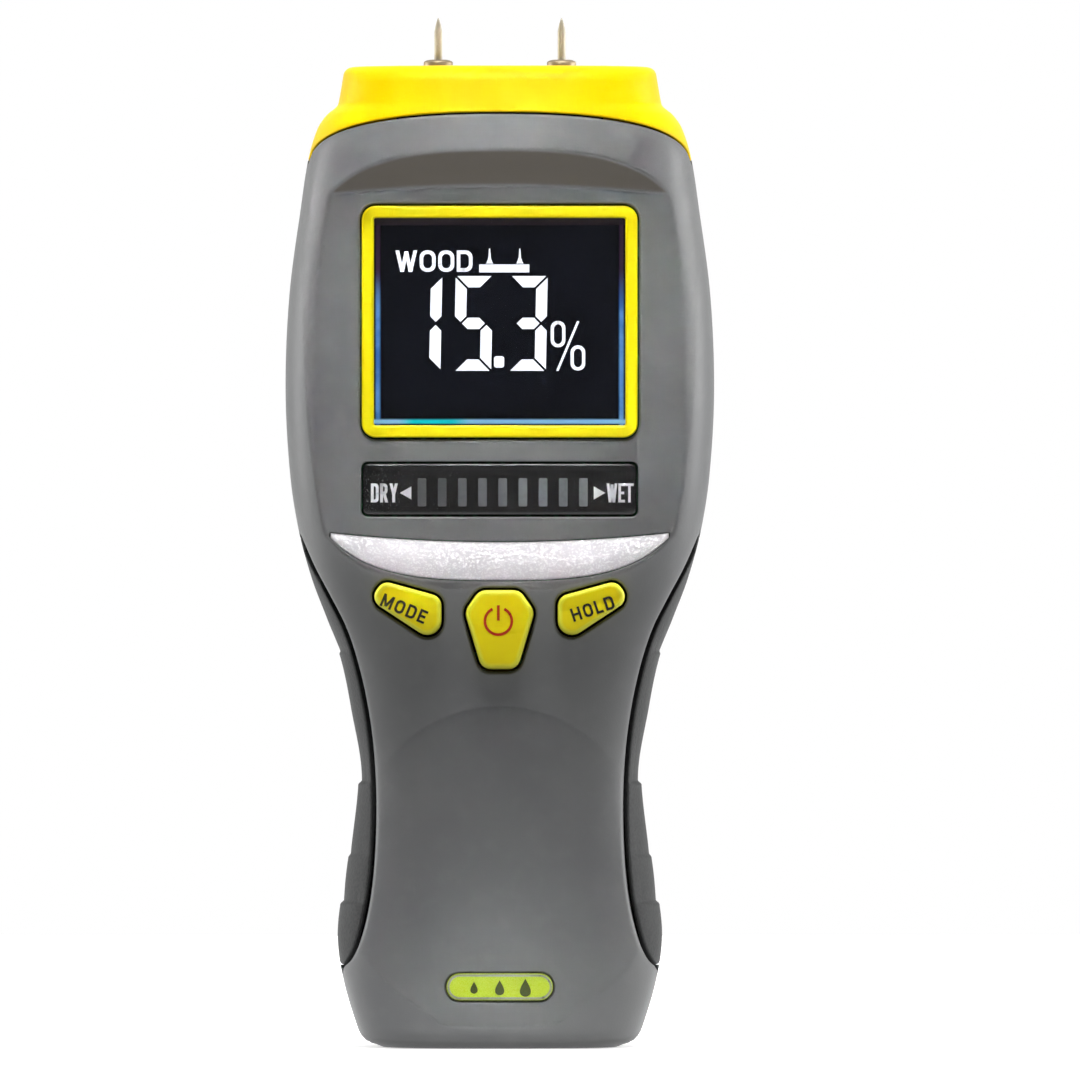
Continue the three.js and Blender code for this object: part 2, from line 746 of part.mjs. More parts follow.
function keyCap(key) {
  const cap = through2d(roundedPolygon(key.corners), -far, -8).intersect(body(-keyProud)).subtract(body(flangeInset + flangeThickness / 2));
  const behindWall = (inset) => body(inset, { ...innerLoft, sideInset: (z) => sideWall(z) + inset - wall });
  const flange = through2d(roundedPolygon(key.corners, flangeLip), -far, -8)
    .intersect(behindWall(flangeInset))
    .subtract(behindWall(flangeInset + flangeThickness));
  const stemFront = -frontSkin(key.x, key.z) + flangeInset + 0.4;
  const stem = rod(stemRadius, key.x, key.z, stemFront - 1, plungerFront - gap);
  return largest(cap.add(flange).add(stem));
}

function tactSwitch(key) {
  const half = switchSize / 2;
  return box([key.x - half, switchFront, key.z - half], [key.x + half, -boardFront - gap, key.z + half]).subtract(
    rod(plungerRadius + gap, key.x, key.z, -far, switchFront + boreDepth),
  );
}

for (const key of keys) {
  add(`${key.name}_key`, keyCap(key), keyPlastic);
  add(`${key.name}_switch`, tactSwitch(key), blackPlastic);
  add(`${key.name}_plunger`, rod(plungerRadius, key.x, key.z, plungerFront, plungerBack), whitePlastic);
}

const gasketBack = switchFront - gap;
let gasket = through2d(roundedBox(35, 11.5, 2, 0, keyCentre + 2), gasketBack - 0.4, gasketBack);
for (const key of keys) gasket = gasket.subtract(rod(plungerRadius + 2 * gap, key.x, key.z, -far, far));
add('keypad_gasket', gasket, softRubber);

// ---------------------------------------------------------------- circuit board

const boardTop = displayCentre + bezelHeight / 2 + 1.9;
const boardNarrow = waistWidth / 2 - handleSide - 0.4;
const boardOutline = roundedPolygon([
  [-boardEdge, boardTop, 2],
  [-boardEdge, handleLength + 7, 2],
  [-boardNarrow, handleLength + 1, 3],
  [-boardNarrow, batteryTop + 0.8, 2],
  [boardNarrow, batteryTop + 0.8, 2],
  [boardNarrow, handleLength + 1, 3],
  [boardEdge, handleLength + 7, 2],
  [boardEdge, boardTop, 2],
]);
let board = through2d(boardOutline, -boardFront, -boardBack);
for (const [x, z] of boardScrews) board = board.subtract(rod(boardScrewRadius + gap, x, z, -far, far));
add('main_board', board, boardGreen);

boardScrews.forEach(([x, z], i) => {
  const head = rod(1.7, x, z, -boardBack + gap, -boardBack + 1.3, 12);
  add(`board_screw_${i + 1}`, head.add(rod(boardScrewRadius, x, z, -boardFront - 3.4, -boardBack + 0.8, 12)), steel);
});

const chipHalf = 5;
const chipLevel = displayCentre - 8;
add('controller_chip', box([-chipHalf, -boardBack + gap, chipLevel - chipHalf], [chipHalf, -boardBack + 1.7, chipLevel + chipHalf]), chipBlack);
add('buzzer', rod(6, 14, barCentre - 2, -boardBack + gap, -boardBack + 4.6, 24), blackPlastic);

// ---------------------------------------------------------------- probe pins

const blockBottom = bodyHeight - 11;
const bore = pinRadius + gap;

pinPlaces.forEach((x, i) => {
  const side = ['left', 'right'][i];
  const tip = bodyHeight + pinLength;
  const socketBottom = blockBottom - 1;
  const collarBase = bodyHeight + gap;
  add(
    `${side}_pin`,
    turned([[0, bodyHeight - pinDepth], [pinRadius, bodyHeight - pinDepth], [pinRadius, tip - pinTaper], [0.12, tip], [0, tip]], x, 0),
    steel,
  );
  add(
    `${side}_collar`,
    turned(
      [[bore, collarBase], [collarRadius, collarBase], [collarRadius, collarBase + collarHeight - 0.5],
        [collarRadius - 0.5, collarBase + collarHeight], [bore, collarBase + collarHeight], [bore, collarBase]],
      x, 0, 20,
    ),
    nickel,
  );
  add(
    `${side}_socket`,
    turned(
      [[0, socketBottom], [socketRadius, socketBottom], [socketRadius, bodyHeight], [bore, bodyHeight],
        [bore, bodyHeight - pinDepth - gap], [0, bodyHeight - pinDepth - gap]],
      x, 0,
    ),
    brass,
  );
  const inwards = Math.sign(x);
  add(
    `${side}_pin_lead`,
    wire(0.7, [[x, 0, socketBottom - gap], [x, -0.4, socketBottom - 4], [x - inwards * 1.5, -2.4, boardTop - 0.5],
      [x - inwards * 2, -4.4, boardTop - 5], [x - inwards * 2, -boardBack + 0.8, boardTop - 8]]),
    [redWire, blackWire][i],
  );
});

let pinBlock = box([-17, -6, blockBottom], [17, 6, bodyHeight - wall - gap]);
for (const x of pinPlaces) pinBlock = pinBlock.subtract(turned([[0, 0], [socketRadius + gap, 0], [socketRadius + gap, 200], [0, 200]], x, 0));
add('pin_block', pinBlock, blackPlastic);

// ---------------------------------------------------------------- battery

const batteryFront = batteryMiddle - batteryDepth / 2;
const batteryShape = roundedBox(batteryWidth, batteryHeight, 1.5, 0, batteryBase + batteryHeight / 2);
add('battery', through2d(batteryShape, batteryFront, batteryFront + batteryDepth), batteryPaint);

const terminals = [
  { name: 'battery_small_terminal', x: -6.35, radius: 2.8 },
  { name: 'battery_large_terminal', x: 6.35, radius: 3.9 },
];
for (const { name, x, radius } of terminals) {
  const base = batteryTop + gap;
  add(name, turned([[0, base], [radius, base], [radius, base + terminalHeight], [0, base + terminalHeight]], x, batteryMiddle, 12), nickel);
}
const snapBase = batteryTop + 2 * gap + terminalHeight;
const snapTop = snapBase + 3;
add('battery_snap', box([-12.5, batteryMiddle - 5.5, snapBase], [12.5, batteryMiddle + 5.5, snapTop]), blackPlastic);
[
  ['battery_lead_red', -4, redWire],
  ['battery_lead_black', 4, blackWire],
].forEach(([name, x, material]) => {
  const start = snapTop + gap;
  add(
    name,
    wire(0.7, [[x, batteryMiddle, start], [x, batteryMiddle - 0.6, start + 4], [x, batteryMiddle - 4, start + 8],
      [x, -boardBack + 3, start + 10], [x, -boardBack + 0.8, start + 13]]),
    material,
  );
});

// ---------------------------------------------------------------- battery door

const hookLength = 2;
const hookHalfWidth = 3;
const hookPlaces = [-8, 8];

function batteryDoor() {
  const centre = doorBottom + doorHeight / 2;
  const panel = through2d(
    roundedBox(doorWidth - 2 * gap, doorHeight - 2 * gap, doorRadius - gap, 0, centre), batteryMiddle, far,
  );
  let made = panel.intersect(outside).subtract(body(doorThickness));
  const innerFace = handleBack - doorThickness;
  const hookBack = handleBack - wall - 2.5 * gap;
  for (const x of hookPlaces) {
    const low = [x - hookHalfWidth, hookBack - 0.9, doorBottom - hookLength + gap];
    made = made.add(box(low, [x + hookHalfWidth, hookBack, doorBottom + 2]));
    made = made.add(box([low[0], low[1], doorBottom + gap], [x + hookHalfWidth, innerFace + 0.5, doorBottom + 2]));
  }
  const thumbTab = box([-5, innerFace - 1.4, doorBottom + doorHeight - 4], [5, innerFace + 0.5, doorBottom + doorHeight - gap]);
  return largest(made.add(thumbTab));
}

add('battery_door', batteryDoor(), greyPlastic);
const foamBack = handleBack - doorThickness - 2 * gap;
add('door_foam', box([-8, foamBack - 0.5, batteryBase + 8], [8, foamBack, batteryTop - 8]), foam);

// ---------------------------------------------------------------- case screws

screwPlaces.forEach(([x, z], i) => {
  const seat = screwHeadBack - 2.4 + gap;
  const head = rod(screwHeadRadius, x, z, seat, seat + 1.8, 16).subtract(
    box([x - 1.4, seat + 0.9, z - 0.3], [x + 1.4, far, z + 0.3]).add(box([x - 0.3, seat + 0.9, z - 1.4], [x + 0.3, far, z + 1.4])),
  );
  add(`case_screw_${i + 1}`, head.add(rod(screwRadius, x, z, bossFront - pilotDepth + 1, seat + 0.5, 12)), steel);
});

export default meter;
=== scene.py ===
import math
import bmesh
import bpy
import numpy as np
from mathutils import Matrix, Vector
from mathutils.geometry import delaunay_2d_cdt


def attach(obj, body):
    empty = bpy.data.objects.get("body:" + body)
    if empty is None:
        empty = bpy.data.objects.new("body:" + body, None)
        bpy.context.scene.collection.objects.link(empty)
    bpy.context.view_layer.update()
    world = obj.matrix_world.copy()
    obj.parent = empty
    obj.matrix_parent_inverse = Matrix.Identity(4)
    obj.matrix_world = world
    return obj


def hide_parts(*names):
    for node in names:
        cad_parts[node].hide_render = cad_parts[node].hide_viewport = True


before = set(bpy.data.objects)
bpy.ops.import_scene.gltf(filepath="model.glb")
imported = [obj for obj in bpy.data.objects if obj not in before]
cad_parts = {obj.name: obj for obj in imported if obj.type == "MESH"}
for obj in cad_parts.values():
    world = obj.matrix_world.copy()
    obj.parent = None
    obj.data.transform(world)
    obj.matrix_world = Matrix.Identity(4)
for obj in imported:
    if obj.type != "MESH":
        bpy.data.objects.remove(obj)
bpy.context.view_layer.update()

housing = "housing"
print("frame loaded")

# camera: square on to the display, far enough back to flatten the view
cameraSet = {"distance": 2500.0, "aimX": 6.6, "aimZ": 83.3, "frameHeight": 177.8}


def makeCamera(s):
    data = bpy.data.cameras.new("frontCamera")
    data.sensor_width = 36
    data.lens = 36 * s["distance"] / s["frameHeight"]
    data.clip_start = 0.05
    data.clip_end = 60
    camera = bpy.data.objects.new("frontCamera", data)
    camera.location = (s["aimX"] / 1000, -s["distance"] / 1000, s["aimZ"] / 1000)
    camera.rotation_euler = (math.pi / 2, 0, 0)
    bpy.context.scene.collection.objects.link(camera)
    bpy.context.scene.camera = camera


makeCamera(cameraSet)
print("camera placed")


# shader maths

class Wire:
    # one output of a node: arithmetic on wires and numbers adds Math nodes to the same tree
    def __init__(self, net, socket):
        self.net = net
        self.socket = socket

    def pair(self, operation, first, second):
        return self.net.add("ShaderNodeMath", {"operation": operation}, {0: first, 1: second})

    def __add__(self, other):
        return self.pair("ADD", self, other)

    def __radd__(self, other):
        return self.pair("ADD", other, self)

    def __sub__(self, other):
        return self.pair("SUBTRACT", self, other)

    def __rsub__(self, other):
        return self.pair("SUBTRACT", other, self)

    def __mul__(self, other):
        return self.pair("MULTIPLY", self, other)

    def __truediv__(self, other):
        return self.pair("DIVIDE", self, other)

    def __gt__(self, other):
        return self.pair("GREATER_THAN", self, other)

    def least(self, other):
        return self.pair("MINIMUM", self, other)

    def most(self, other):
        return self.pair("MAXIMUM", self, other)

    def size(self):
        return self.pair("ABSOLUTE", self, 0)

    def step(self, low, high, first=0.0, last=1.0):
        # a smooth step from first to last as the value goes from low to high
        return self.net.add("ShaderNodeMapRange", {"interpolation_type": "SMOOTHSTEP"},
                            {"Value": self, "From Min": low, "From Max": high, "To Min": first, "To Max": last})


class Net:
    # the node tree of one material or of the world
    def __init__(self, owner):
        self.owner = owner
        owner.use_nodes = True
        self.tree = owner.node_tree
        self.tree.nodes.clear()

    def add(self, kind, settings=None, values=None, out=0):
        node = self.tree.nodes.new(kind)
        for key, value in (settings or {}).items():
            setattr(node, key, value)
        for key, value in (values or {}).items():
            if isinstance(value, Wire):
                self.tree.links.new(value.socket, node.inputs[key])
            else:
                node.inputs[key].default_value = value
        return Wire(self, node.outputs[out]) if len(node.outputs) else None

    def blend(self, factor, first, second):
        # Mix of two colours: sockets 6 and 7 are the colours, output 2 the result
        return self.add("ShaderNodeMix", {"data_type": "RGBA"}, {0: factor, 6: first, 7: second}, out=2)

    def place(self):
        # object coordinates, in metres, as a vector
        return self.add("ShaderNodeTexCoord", out=3)

    def axes(self, where=None):
        # x, y and z of a vector, of the object coordinates unless another is given
        where = where or self.place()
        return [self.add("ShaderNodeSeparateXYZ", {}, {0: where}, out=i) for i in range(3)]

    def noise(self, scale, detail=2.0, where=None):
        values = {"Vector": where or self.place(), "Scale": scale, "Detail": detail, "Roughness": 0.5}
        return self.add("ShaderNodeTexNoise", {}, values)

    def stretched(self, x, y, z):
        # object coordinates multiplied along each axis, which draws a noise out into lines
        return self.add("ShaderNodeVectorMath", {"operation": "MULTIPLY"}, {0: self.place(), 1: (x, y, z)})

    def mask(self, attribute):
        # a value that the mesh carries at its points
        return self.add("ShaderNodeAttribute", {"attribute_name": attribute}, out=2)

    def surface(self, values):
        shader = self.add("ShaderNodeBsdfPrincipled", {}, values)
        self.add("ShaderNodeOutputMaterial", {}, {"Surface": shader})
        return self.owner

    def bump(self, height, distance):
        return self.add("ShaderNodeBump", {}, {"Height": height, "Distance": distance, "Strength": 1.0})


def colour(code, alpha=1.0):
    # the linear value of a six-figure screen colour
    parts = [int(code[i:i + 2], 16) / 255 for i in (0, 2, 4)]
    return (*[v / 12.92 if v <= 0.04045 else ((v + 0.055) / 1.055) ** 2.4 for v in parts], alpha)


def newNet(name):
    return Net(bpy.data.materials.new(name))


# moulded plastic: a fine grain in the bump, slow mottling in the colour and uneven gloss; an optional mask
# carried by the mesh, with the colour painted there as shade
def mouldedPlastic(name, s):
    net = newNet(name)
    grain = net.noise(s["grainScale"], 3.0)
    broad = net.noise(45.0, 2.0)
    cloud = net.noise(260.0, 3.0)
    tint = net.blend(broad.step(0.3, 0.7), colour(s["colour"]), colour(s["second"]))
    tint = net.blend(cloud.step(0.45, 0.8) * s["mottle"], tint, colour(s["rubbed"]))
    if "paintedShade" in s:
        tint = net.blend(net.mask(s["paintedShade"][0]), tint, colour(s["paintedShade"][1]))
    rough = s["rough"] + (grain - 0.5) * s["roughSpread"] + (broad - 0.5) * 0.06
    return net.surface({"Base Color": tint, "Roughness": rough, "IOR": s.get("ior", 1.5),
                        "Normal": net.bump(grain + cloud * 0.3, s["grainDepth"])})


plasticSets = {
    # painted shade: the brow's facet faces downward, so its colour is painted a darker, warmer grey than the rest of
    # the housing
    "shellPlastic": {"colour": "68696a", "second": "6e6f6f", "rubbed": "7a7a7a", "mottle": 0.25, "rough": 0.44,
                     "roughSpread": 0.14, "grainScale": 3400.0, "grainDepth": 0.000022, "ior": 1.35,
                     "paintedShade": ("browFacet", "615c56")},
    "doorPlastic": {"colour": "666768", "second": "6c6d6e", "rubbed": "7a7a7a", "mottle": 0.3, "rough": 0.47,
                    "roughSpread": 0.14, "grainScale": 3400.0, "grainDepth": 0.000022, "ior": 1.35},
    "headPlastic": {"colour": "f4cc00", "second": "f8d100", "rubbed": "fde02c", "mottle": 0.12, "rough": 0.42,
                    "roughSpread": 0.1, "grainScale": 2600.0, "grainDepth": 0.000015, "ior": 1.15},
    "bezelPlastic": {"colour": "f0de00", "second": "f3e200", "rubbed": "f8ea24", "mottle": 0.14, "rough": 0.36,
                     "roughSpread": 0.05, "grainScale": 2600.0, "grainDepth": 0.000003, "ior": 1.28},
    "blackPlastic": {"colour": "0c0c0c", "second": "101010", "rubbed": "1a1a1a", "mottle": 0.3, "rough": 0.26,
                     "roughSpread": 0.08, "grainScale": 3000.0, "grainDepth": 0.000004, "ior": 1.42},
    "whitePlastic": {"colour": "e6e5df", "second": "f0efea", "rubbed": "fbfaf6", "mottle": 0.2, "rough": 0.45,
                     "roughSpread": 0.12, "grainScale": 3000.0, "grainDepth": 0.00002},
    "redJacket": {"colour": "a81a17", "second": "b8231e", "rubbed": "cc4a44", "mottle": 0.3, "rough": 0.42,
                  "roughSpread": 0.12, "grainScale": 4000.0, "grainDepth": 0.00001},
    "blackJacket": {"colour": "161616", "second": "1d1d1d", "rubbed": "303030", "mottle": 0.3, "rough": 0.42,
                    "roughSpread": 0.12, "grainScale": 4000.0, "grainDepth": 0.00001},
    "chipPlastic": {"colour": "17181a", "second": "1d1e20", "rubbed": "2c2d30", "mottle": 0.3, "rough": 0.5,
                    "roughSpread": 0.2, "grainScale": 5000.0, "grainDepth": 0.00002},
    "ledPlastic": {"colour": "c9c6b8", "second": "d6d3c6", "rubbed": "efece0", "mottle": 0.3, "rough": 0.25,
                   "roughSpread": 0.1, "grainScale": 3000.0, "grainDepth": 0.00001},
    "foamBlack": {"colour": "222222", "second": "2b2b2b", "rubbed": "3c3c3c", "mottle": 0.5, "rough": 0.9,
                  "roughSpread": 0.1, "grainScale": 1500.0, "grainDepth": 0.0002},
}
mats = {name: mouldedPlastic(name, s) for name, s in plasticSets.items()}


# the keys' plastic: two close yellows in slow clouds, and a painted highlight: a paler yellow on the rounded rim that
# the mesh marks
def keyMaterial(name, s):
    net = newNet(name)
    grain, cloud = net.noise(s["grainScale"], 3.0), net.noise(260.0, 3.0)
    tint = net.blend(cloud.step(0.4, 0.75), colour(s["colour"]), colour(s["second"]))
    tint = net.blend(net.mask("keyRimHighlight"), tint, colour(s["rim"]))
    return net.surface({"Base Color": tint, "Roughness": s["rough"] + (grain - 0.5) * s["roughSpread"],
                        "IOR": s["ior"], "Normal": net.bump(grain, s["grainDepth"])})


mats["keyPlastic"] = keyMaterial("keyPlastic", {
    "colour": "fbe600", "second": "ffec00", "rim": "fffb46", "rough": 0.36, "roughSpread": 0.1,
    "grainScale": 2600.0, "grainDepth": 0.00001, "ior": 1.3})


# soft rubber: fine pebbling, nearly matt, dustier where it stands proud
def softRubber(name, s):
    net = newNet(name)
    pebble = net.add("ShaderNodeTexVoronoi", {"feature": "SMOOTH_F1"},
                     {"Vector": net.place(), "Scale": s["pebbleScale"], "Smoothness": 0.6})
    broad = net.noise(70.0, 3.0)
    tint = net.blend(broad.step(0.3, 0.75), colour(s["colour"]), colour(s["second"]))
    tint = net.blend(pebble.step(0.25, 0.7) * 0.35, tint, colour(s["dust"]))
    rough = s["rough"] + (broad - 0.5) * 0.1
    return net.surface({"Base Color": tint, "Roughness": rough, "IOR": 1.3,
                        "Normal": net.bump(1 - pebble, s["pebbleDepth"])})


mats["gripRubber"] = softRubber("gripRubber", {"colour": "2b2c2c", "second": "323333", "dust": "424343",
                                               "pebbleScale": 2200.0, "pebbleDepth": 0.00004, "rough": 0.62})
mats["gasketRubber"] = softRubber("gasketRubber", {"colour": "252525", "second": "2c2c2c", "dust": "3c3c3c",
                                                   "pebbleScale": 2600.0, "pebbleDepth": 0.00003, "rough": 0.7})


# sparkling silver paint: small flakes, each with its own brightness and gloss
def sparklePaint(name, s):
    net = newNet(name)
    cells = {"Vector": net.place(), "Scale": s["flakeScale"]}
    flakes = net.add("ShaderNodeTexVoronoi", {"feature": "F1"}, cells, out=1)
    flake = net.add("ShaderNodeSeparateColor", {}, {0: flakes})
    bright = flake.step(0.55, 0.95)
    broad = net.noise(120.0, 2.0)
    tint = net.blend(bright, colour(s["colour"]), colour(s["flash"]))
    tint = net.blend(broad.step(0.35, 0.7) * 0.3, tint, colour(s["second"]))
    return net.surface({"Base Color": tint, "Roughness": 0.55 - bright * 0.2, "Metallic": 0.1 + bright * 0.15,
                        "Normal": net.bump(flake, s["flakeDepth"])})


mats["silverPaint"] = sparklePaint("silverPaint", {"colour": "a2a0a3", "flash": "b5b3b6", "second": "a9a7aa",
                                                   "flakeScale": 4600.0, "flakeDepth": 0.000009})


# metal: turning or brushing lines round or along the piece, with a little tarnish
def turnedMetal(name, s):
    net = newNet(name)
    lines = net.noise(s["lineScale"], 2.0, where=net.stretched(*s["stretch"]))
    tarnish = net.noise(300.0, 4.0)
    tint = net.blend(tarnish.step(0.4, 0.8) * s["tarnish"], colour(s["colour"]), colour(s["dull"]))
    rough = s["rough"] + (lines - 0.5) * 0.16 + tarnish.step(0.5, 0.8) * 0.08
    return net.surface({"Base Color": tint, "Roughness": rough, "Metallic": s.get("metal", 1.0),
                        "Specular Tint": colour(s.get("edge", "ffffff")), "Normal": net.bump(lines, 0.00001)})


metalSets = {
    "pinSteel": {"colour": "b6b1a4", "dull": "938a74", "tarnish": 0.5, "rough": 0.5, "metal": 0.4, "edge": "5c564a",
                 "lineScale": 4000.0, "stretch": (0.2, 0.2, 1.0)},
    "screwSteel": {"colour": "bdbcb8", "dull": "85837c", "tarnish": 0.6, "rough": 0.3,
                   "lineScale": 5000.0, "stretch": (1.0, 0.1, 1.0)},
    "nickelPlate": {"colour": "a4967f", "dull": "7c6a4e", "tarnish": 0.6, "rough": 0.42, "metal": 0.6,
                    "edge": "6a6050", "lineScale": 4000.0, "stretch": (0.2, 0.2, 1.0)},
    "turnedBrass": {"colour": "c9a24a", "dull": "8a6426", "tarnish": 0.6, "rough": 0.28,
                    "lineScale": 4000.0, "stretch": (0.2, 0.2, 1.0)},
}
mats.update({name: turnedMetal(name, s) for name, s in metalSets.items()})


# circuit board: green resist with straight tracks under it
def boardMaterial(name):
    net = newNet(name)
    x, y, z = net.axes()
    across = net.add("ShaderNodeMath", {"operation": "PINGPONG"}, {0: x + z * 0.5, 1: 0.0011})
    tracks = across.step(0.0003, 0.0005, 1.0, 0.0) * (net.noise(160.0, 1.0) > 0.5)
    tint = net.blend(tracks, colour("17552c"), colour("2b7d46"))
    tint = net.blend(net.noise(90.0, 2.0).step(0.4, 0.8) * 0.4, tint, colour("0f4423"))
    return net.surface({"Base Color": tint, "Roughness": 0.34 + net.noise(500.0) * 0.12,
                        "Normal": net.bump(tracks, 0.00004)})


mats["boardGreen"] = boardMaterial("boardGreen")


# dark display glass: nearly black, with painted reflections as a coloured line along each edge of the pane, violet
# above, blue below; the side and foot lines also glow
def screenMaterial(name, s):
    net = newNet(name)
    x, y, z = net.axes()
    shimmer = net.noise(180.0, 3.0)
    fromSide = s["halfWidth"] - x.size() * 1000
    fromFoot = z * 1000 - (s["centre"] - s["halfHeight"])
    fromHead = (s["centre"] + s["halfHeight"]) - z * 1000

    def line(distance):
        return distance.step(0.1, 0.45) * distance.step(0.75, 1.2, 1.0, 0.0)

    lower = fromHead.step(s["violet"] - 3.0, s["violet"] + 5.0)
    side, foot, headLine = line(fromSide), line(fromFoot), fromHead.step(0.9, 1.35, 1.0, 0.0)
    border = fromSide.least(fromFoot).least(fromHead).step(1.15, 1.3, 1.0, 0.0)
    cyan = (x * 1000).step(-17.0, -14.0) * (x * 1000).step(-8.0, -4.0, 1.0, 0.0)
    blue = net.blend(shimmer.step(0.35, 0.7), colour("3f6fbe"), colour("6ea6e6"))
    sideTint = net.blend(lower, colour("4a3350"), blue)
    footTint = net.blend(cyan, colour("86bdf0"), colour("12c4cf"))
    tint = net.blend(shimmer.step(0.3, 0.8), colour("12141d"), colour("161922"))
    tint = net.blend(border, tint, colour("0c0c14"))
    tint = net.blend(side, tint, sideTint)
    tint = net.blend(headLine * 0.8, tint, colour("3b3138"))
    tint = net.blend(foot, tint, footTint)
    # painted glow on the side and foot lines, though the pane is no lamp
    paintedGlow = (side * lower * 0.5).most(foot)
    lit = net.blend(paintedGlow * 0.5, (0.0, 0.0, 0.0, 1.0), net.blend(foot, blue, footTint))
    return net.surface({"Base Color": tint, "Roughness": 0.07 + shimmer * 0.04, "Emission Color": lit,
                        "Emission Strength": 1.0, "Normal": net.bump(shimmer, 0.000004)})


# clear lens: a glass body with faint ripples
def lensMaterial(name):
    net = newNet(name)
    ripple = net.noise(120.0, 2.0)
    return net.surface({"Base Color": net.blend(ripple * 0.1, (1.0, 1.0, 1.0, 1.0), colour("e8f0f6")),
                        "Roughness": ripple * 0.02, "Transmission Weight": 1.0, "IOR": 1.2,
                        "Normal": net.bump(ripple, 0.000003)})


# lit characters, brighter in their middles than a flat white
def litMaterial(name, code, strength):
    net = newNet(name)
    weave = net.noise(2200.0, 2.0)
    tint = net.blend(weave.step(0.3, 0.7) * 0.25, colour(code), colour("c8d2e6"))
    return net.surface({"Base Color": tint, "Roughness": 0.4 + weave * 0.1, "Emission Color": tint,
                        "Emission Strength": strength, "Normal": net.bump(weave, 0.000005)})


# printed ink with small pinholes in its density
def inkMaterial(name, code, second, rough=0.4):
    net = newNet(name)
    speck = net.noise(5200.0, 2.0)
    tint = net.blend(speck.step(0.35, 0.75) * 0.4, colour(code), colour(second))
    return net.surface({"Base Color": tint, "Roughness": rough + (speck - 0.5) * 0.2, "IOR": 1.3,
                        "Normal": net.bump(speck, 0.000006)})


mats["lens"] = lensMaterial("clearLens")
mats["lit"] = litMaterial("litSegment", "f4f6fb", 0.6)
mats["blackInk"] = inkMaterial("blackInk", "0d0c04", "16140a", 0.7)
mats["whiteInk"] = inkMaterial("whiteInk", "fbfbfd", "eceef2")
mats["rimInk"] = inkMaterial("rimInk", "9aa08c", "b3b8a8", 0.3)
mats["redInk"] = inkMaterial("redInk", "c43206", "cf4312", 0.7)
mats["darkInk"] = inkMaterial("darkInk", "3d4a0c", "536312")
mats["badgeInk"] = inkMaterial("badgeInk", "b7cf20", "c8dd48", 0.28)
mats["plateInk"] = inkMaterial("plateInk", "c5c7ca", "d4d6d8", 0.36)
mats["greyInk"] = inkMaterial("greyInk", "6f7276", "808388", 0.42)


# battery jacket: two broad printed bands on a dark body, with a thin bright ring between
def batteryMaterial(name, low, high):
    net = newNet(name)
    x, y, z = net.axes()
    level = (z * 1000 - low) / (high - low)
    band = level.step(0.66, 0.665)
    ring = (level - 0.66).size().step(0.008, 0.012, 1.0, 0.0)
    scuff = net.noise(400.0, 4.0)
    tint = net.blend(band, colour("20242b"), colour("b58a2e"))
    tint = net.blend(ring, tint, colour("e8e6de"))
    tint = net.blend(scuff.step(0.6, 0.8) * 0.25, tint, colour("8e8e8c"))
    return net.surface({"Base Color": tint, "Roughness": 0.3 + scuff * 0.14, "Metallic": 0.25 + band * 0.4,
                        "Normal": net.bump(scuff, 0.00001)})


mats["battery"] = batteryMaterial("batteryJacket", 15.6, 62.0)
print("materials made")


# the body's section: curves through heights, as in the part

shape = {
    "handleLength": 76.6, "faceLength": 70.4, "headLength": 14.0, "bodyWidth": 70.5, "baseWidth": 53.4,
    "waistWidth": 46.6, "headWidth": 53.1, "faceFront": 21.2, "faceBack": 17.5, "handleFront": 15.4,
    "handleBack": 15.5, "flatDepth": 16.8, "flatMargin": 7.35, "browFacet": 5.6, "trimFacet": 6.5,
    "rise": 3.8, "arch": 1.5, "footRound": 3.0, "topRoundSide": 1.2, "topRoundFront": 2.6,
    "backSquare": 3.6, "parting": 2.0, "crispness": 0.35, "baseReach": 15.0,
}
handle, face, head = shape["handleLength"], shape["faceLength"], shape["headLength"]
browRidge = handle + face
bodyTop = browRidge + head
flatHalf = shape["bodyWidth"] / 2 - shape["flatMargin"]
baseReach = shape["baseReach"]


# Cubic spans through (place, value) pairs; each point's slope is that of the line between its neighbours.
def curveThrough(pairs):
    at, value = np.array(pairs, float).T
    before, after = np.maximum(np.arange(len(at)) - 1, 0), np.minimum(np.arange(len(at)) + 1, len(at) - 1)
    slope = (value[after] - value[before]) / (at[after] - at[before])

    def curve(t):
        t = np.clip(t, at[0], at[-1])
        i = np.clip(np.searchsorted(at, t, side="right") - 1, 0, len(at) - 2)
        span = at[i + 1] - at[i]
        s = (t - at[i]) / span
        return (value[i] * (1 + 2 * s) * (1 - s) ** 2 + value[i + 1] * s * s * (3 - 2 * s)
                + slope[i] * span * s * (1 - s) ** 2 + slope[i + 1] * span * s * s * (s - 1))
    return curve


base, waist, wide, top = (shape[k] / 2 for k in ("baseWidth", "waistWidth", "bodyWidth", "headWidth"))
halfCurve = curveThrough([
    (0, base - 4.3), (handle * 0.13, base - 1.2), (handle * 0.235, base), (handle * 0.34, base - 0.8),
    (handle * 0.58, waist), (handle * 0.73, waist + 1.4), (handle * 0.835, waist + 3),
    (handle * 0.92, wide - 6.65), (handle + face * 0.007, wide - 4.25), (handle + face * 0.12, wide - 2.15),
    (handle + face * 0.25, wide - 0.75), (handle + face * 0.45, wide), (handle + face * 0.67, wide - 0.65),
    (handle + face * 0.87, wide - 2.5), (handle + face * 0.985, wide - 3.75),
    (browRidge + head * 0.28, top + 3.45), (browRidge + head * 0.44, top + 1.95),
    (browRidge + head * 0.535, top + 0.35), (browRidge + head * 0.585, top), (bodyTop, top - 1)])
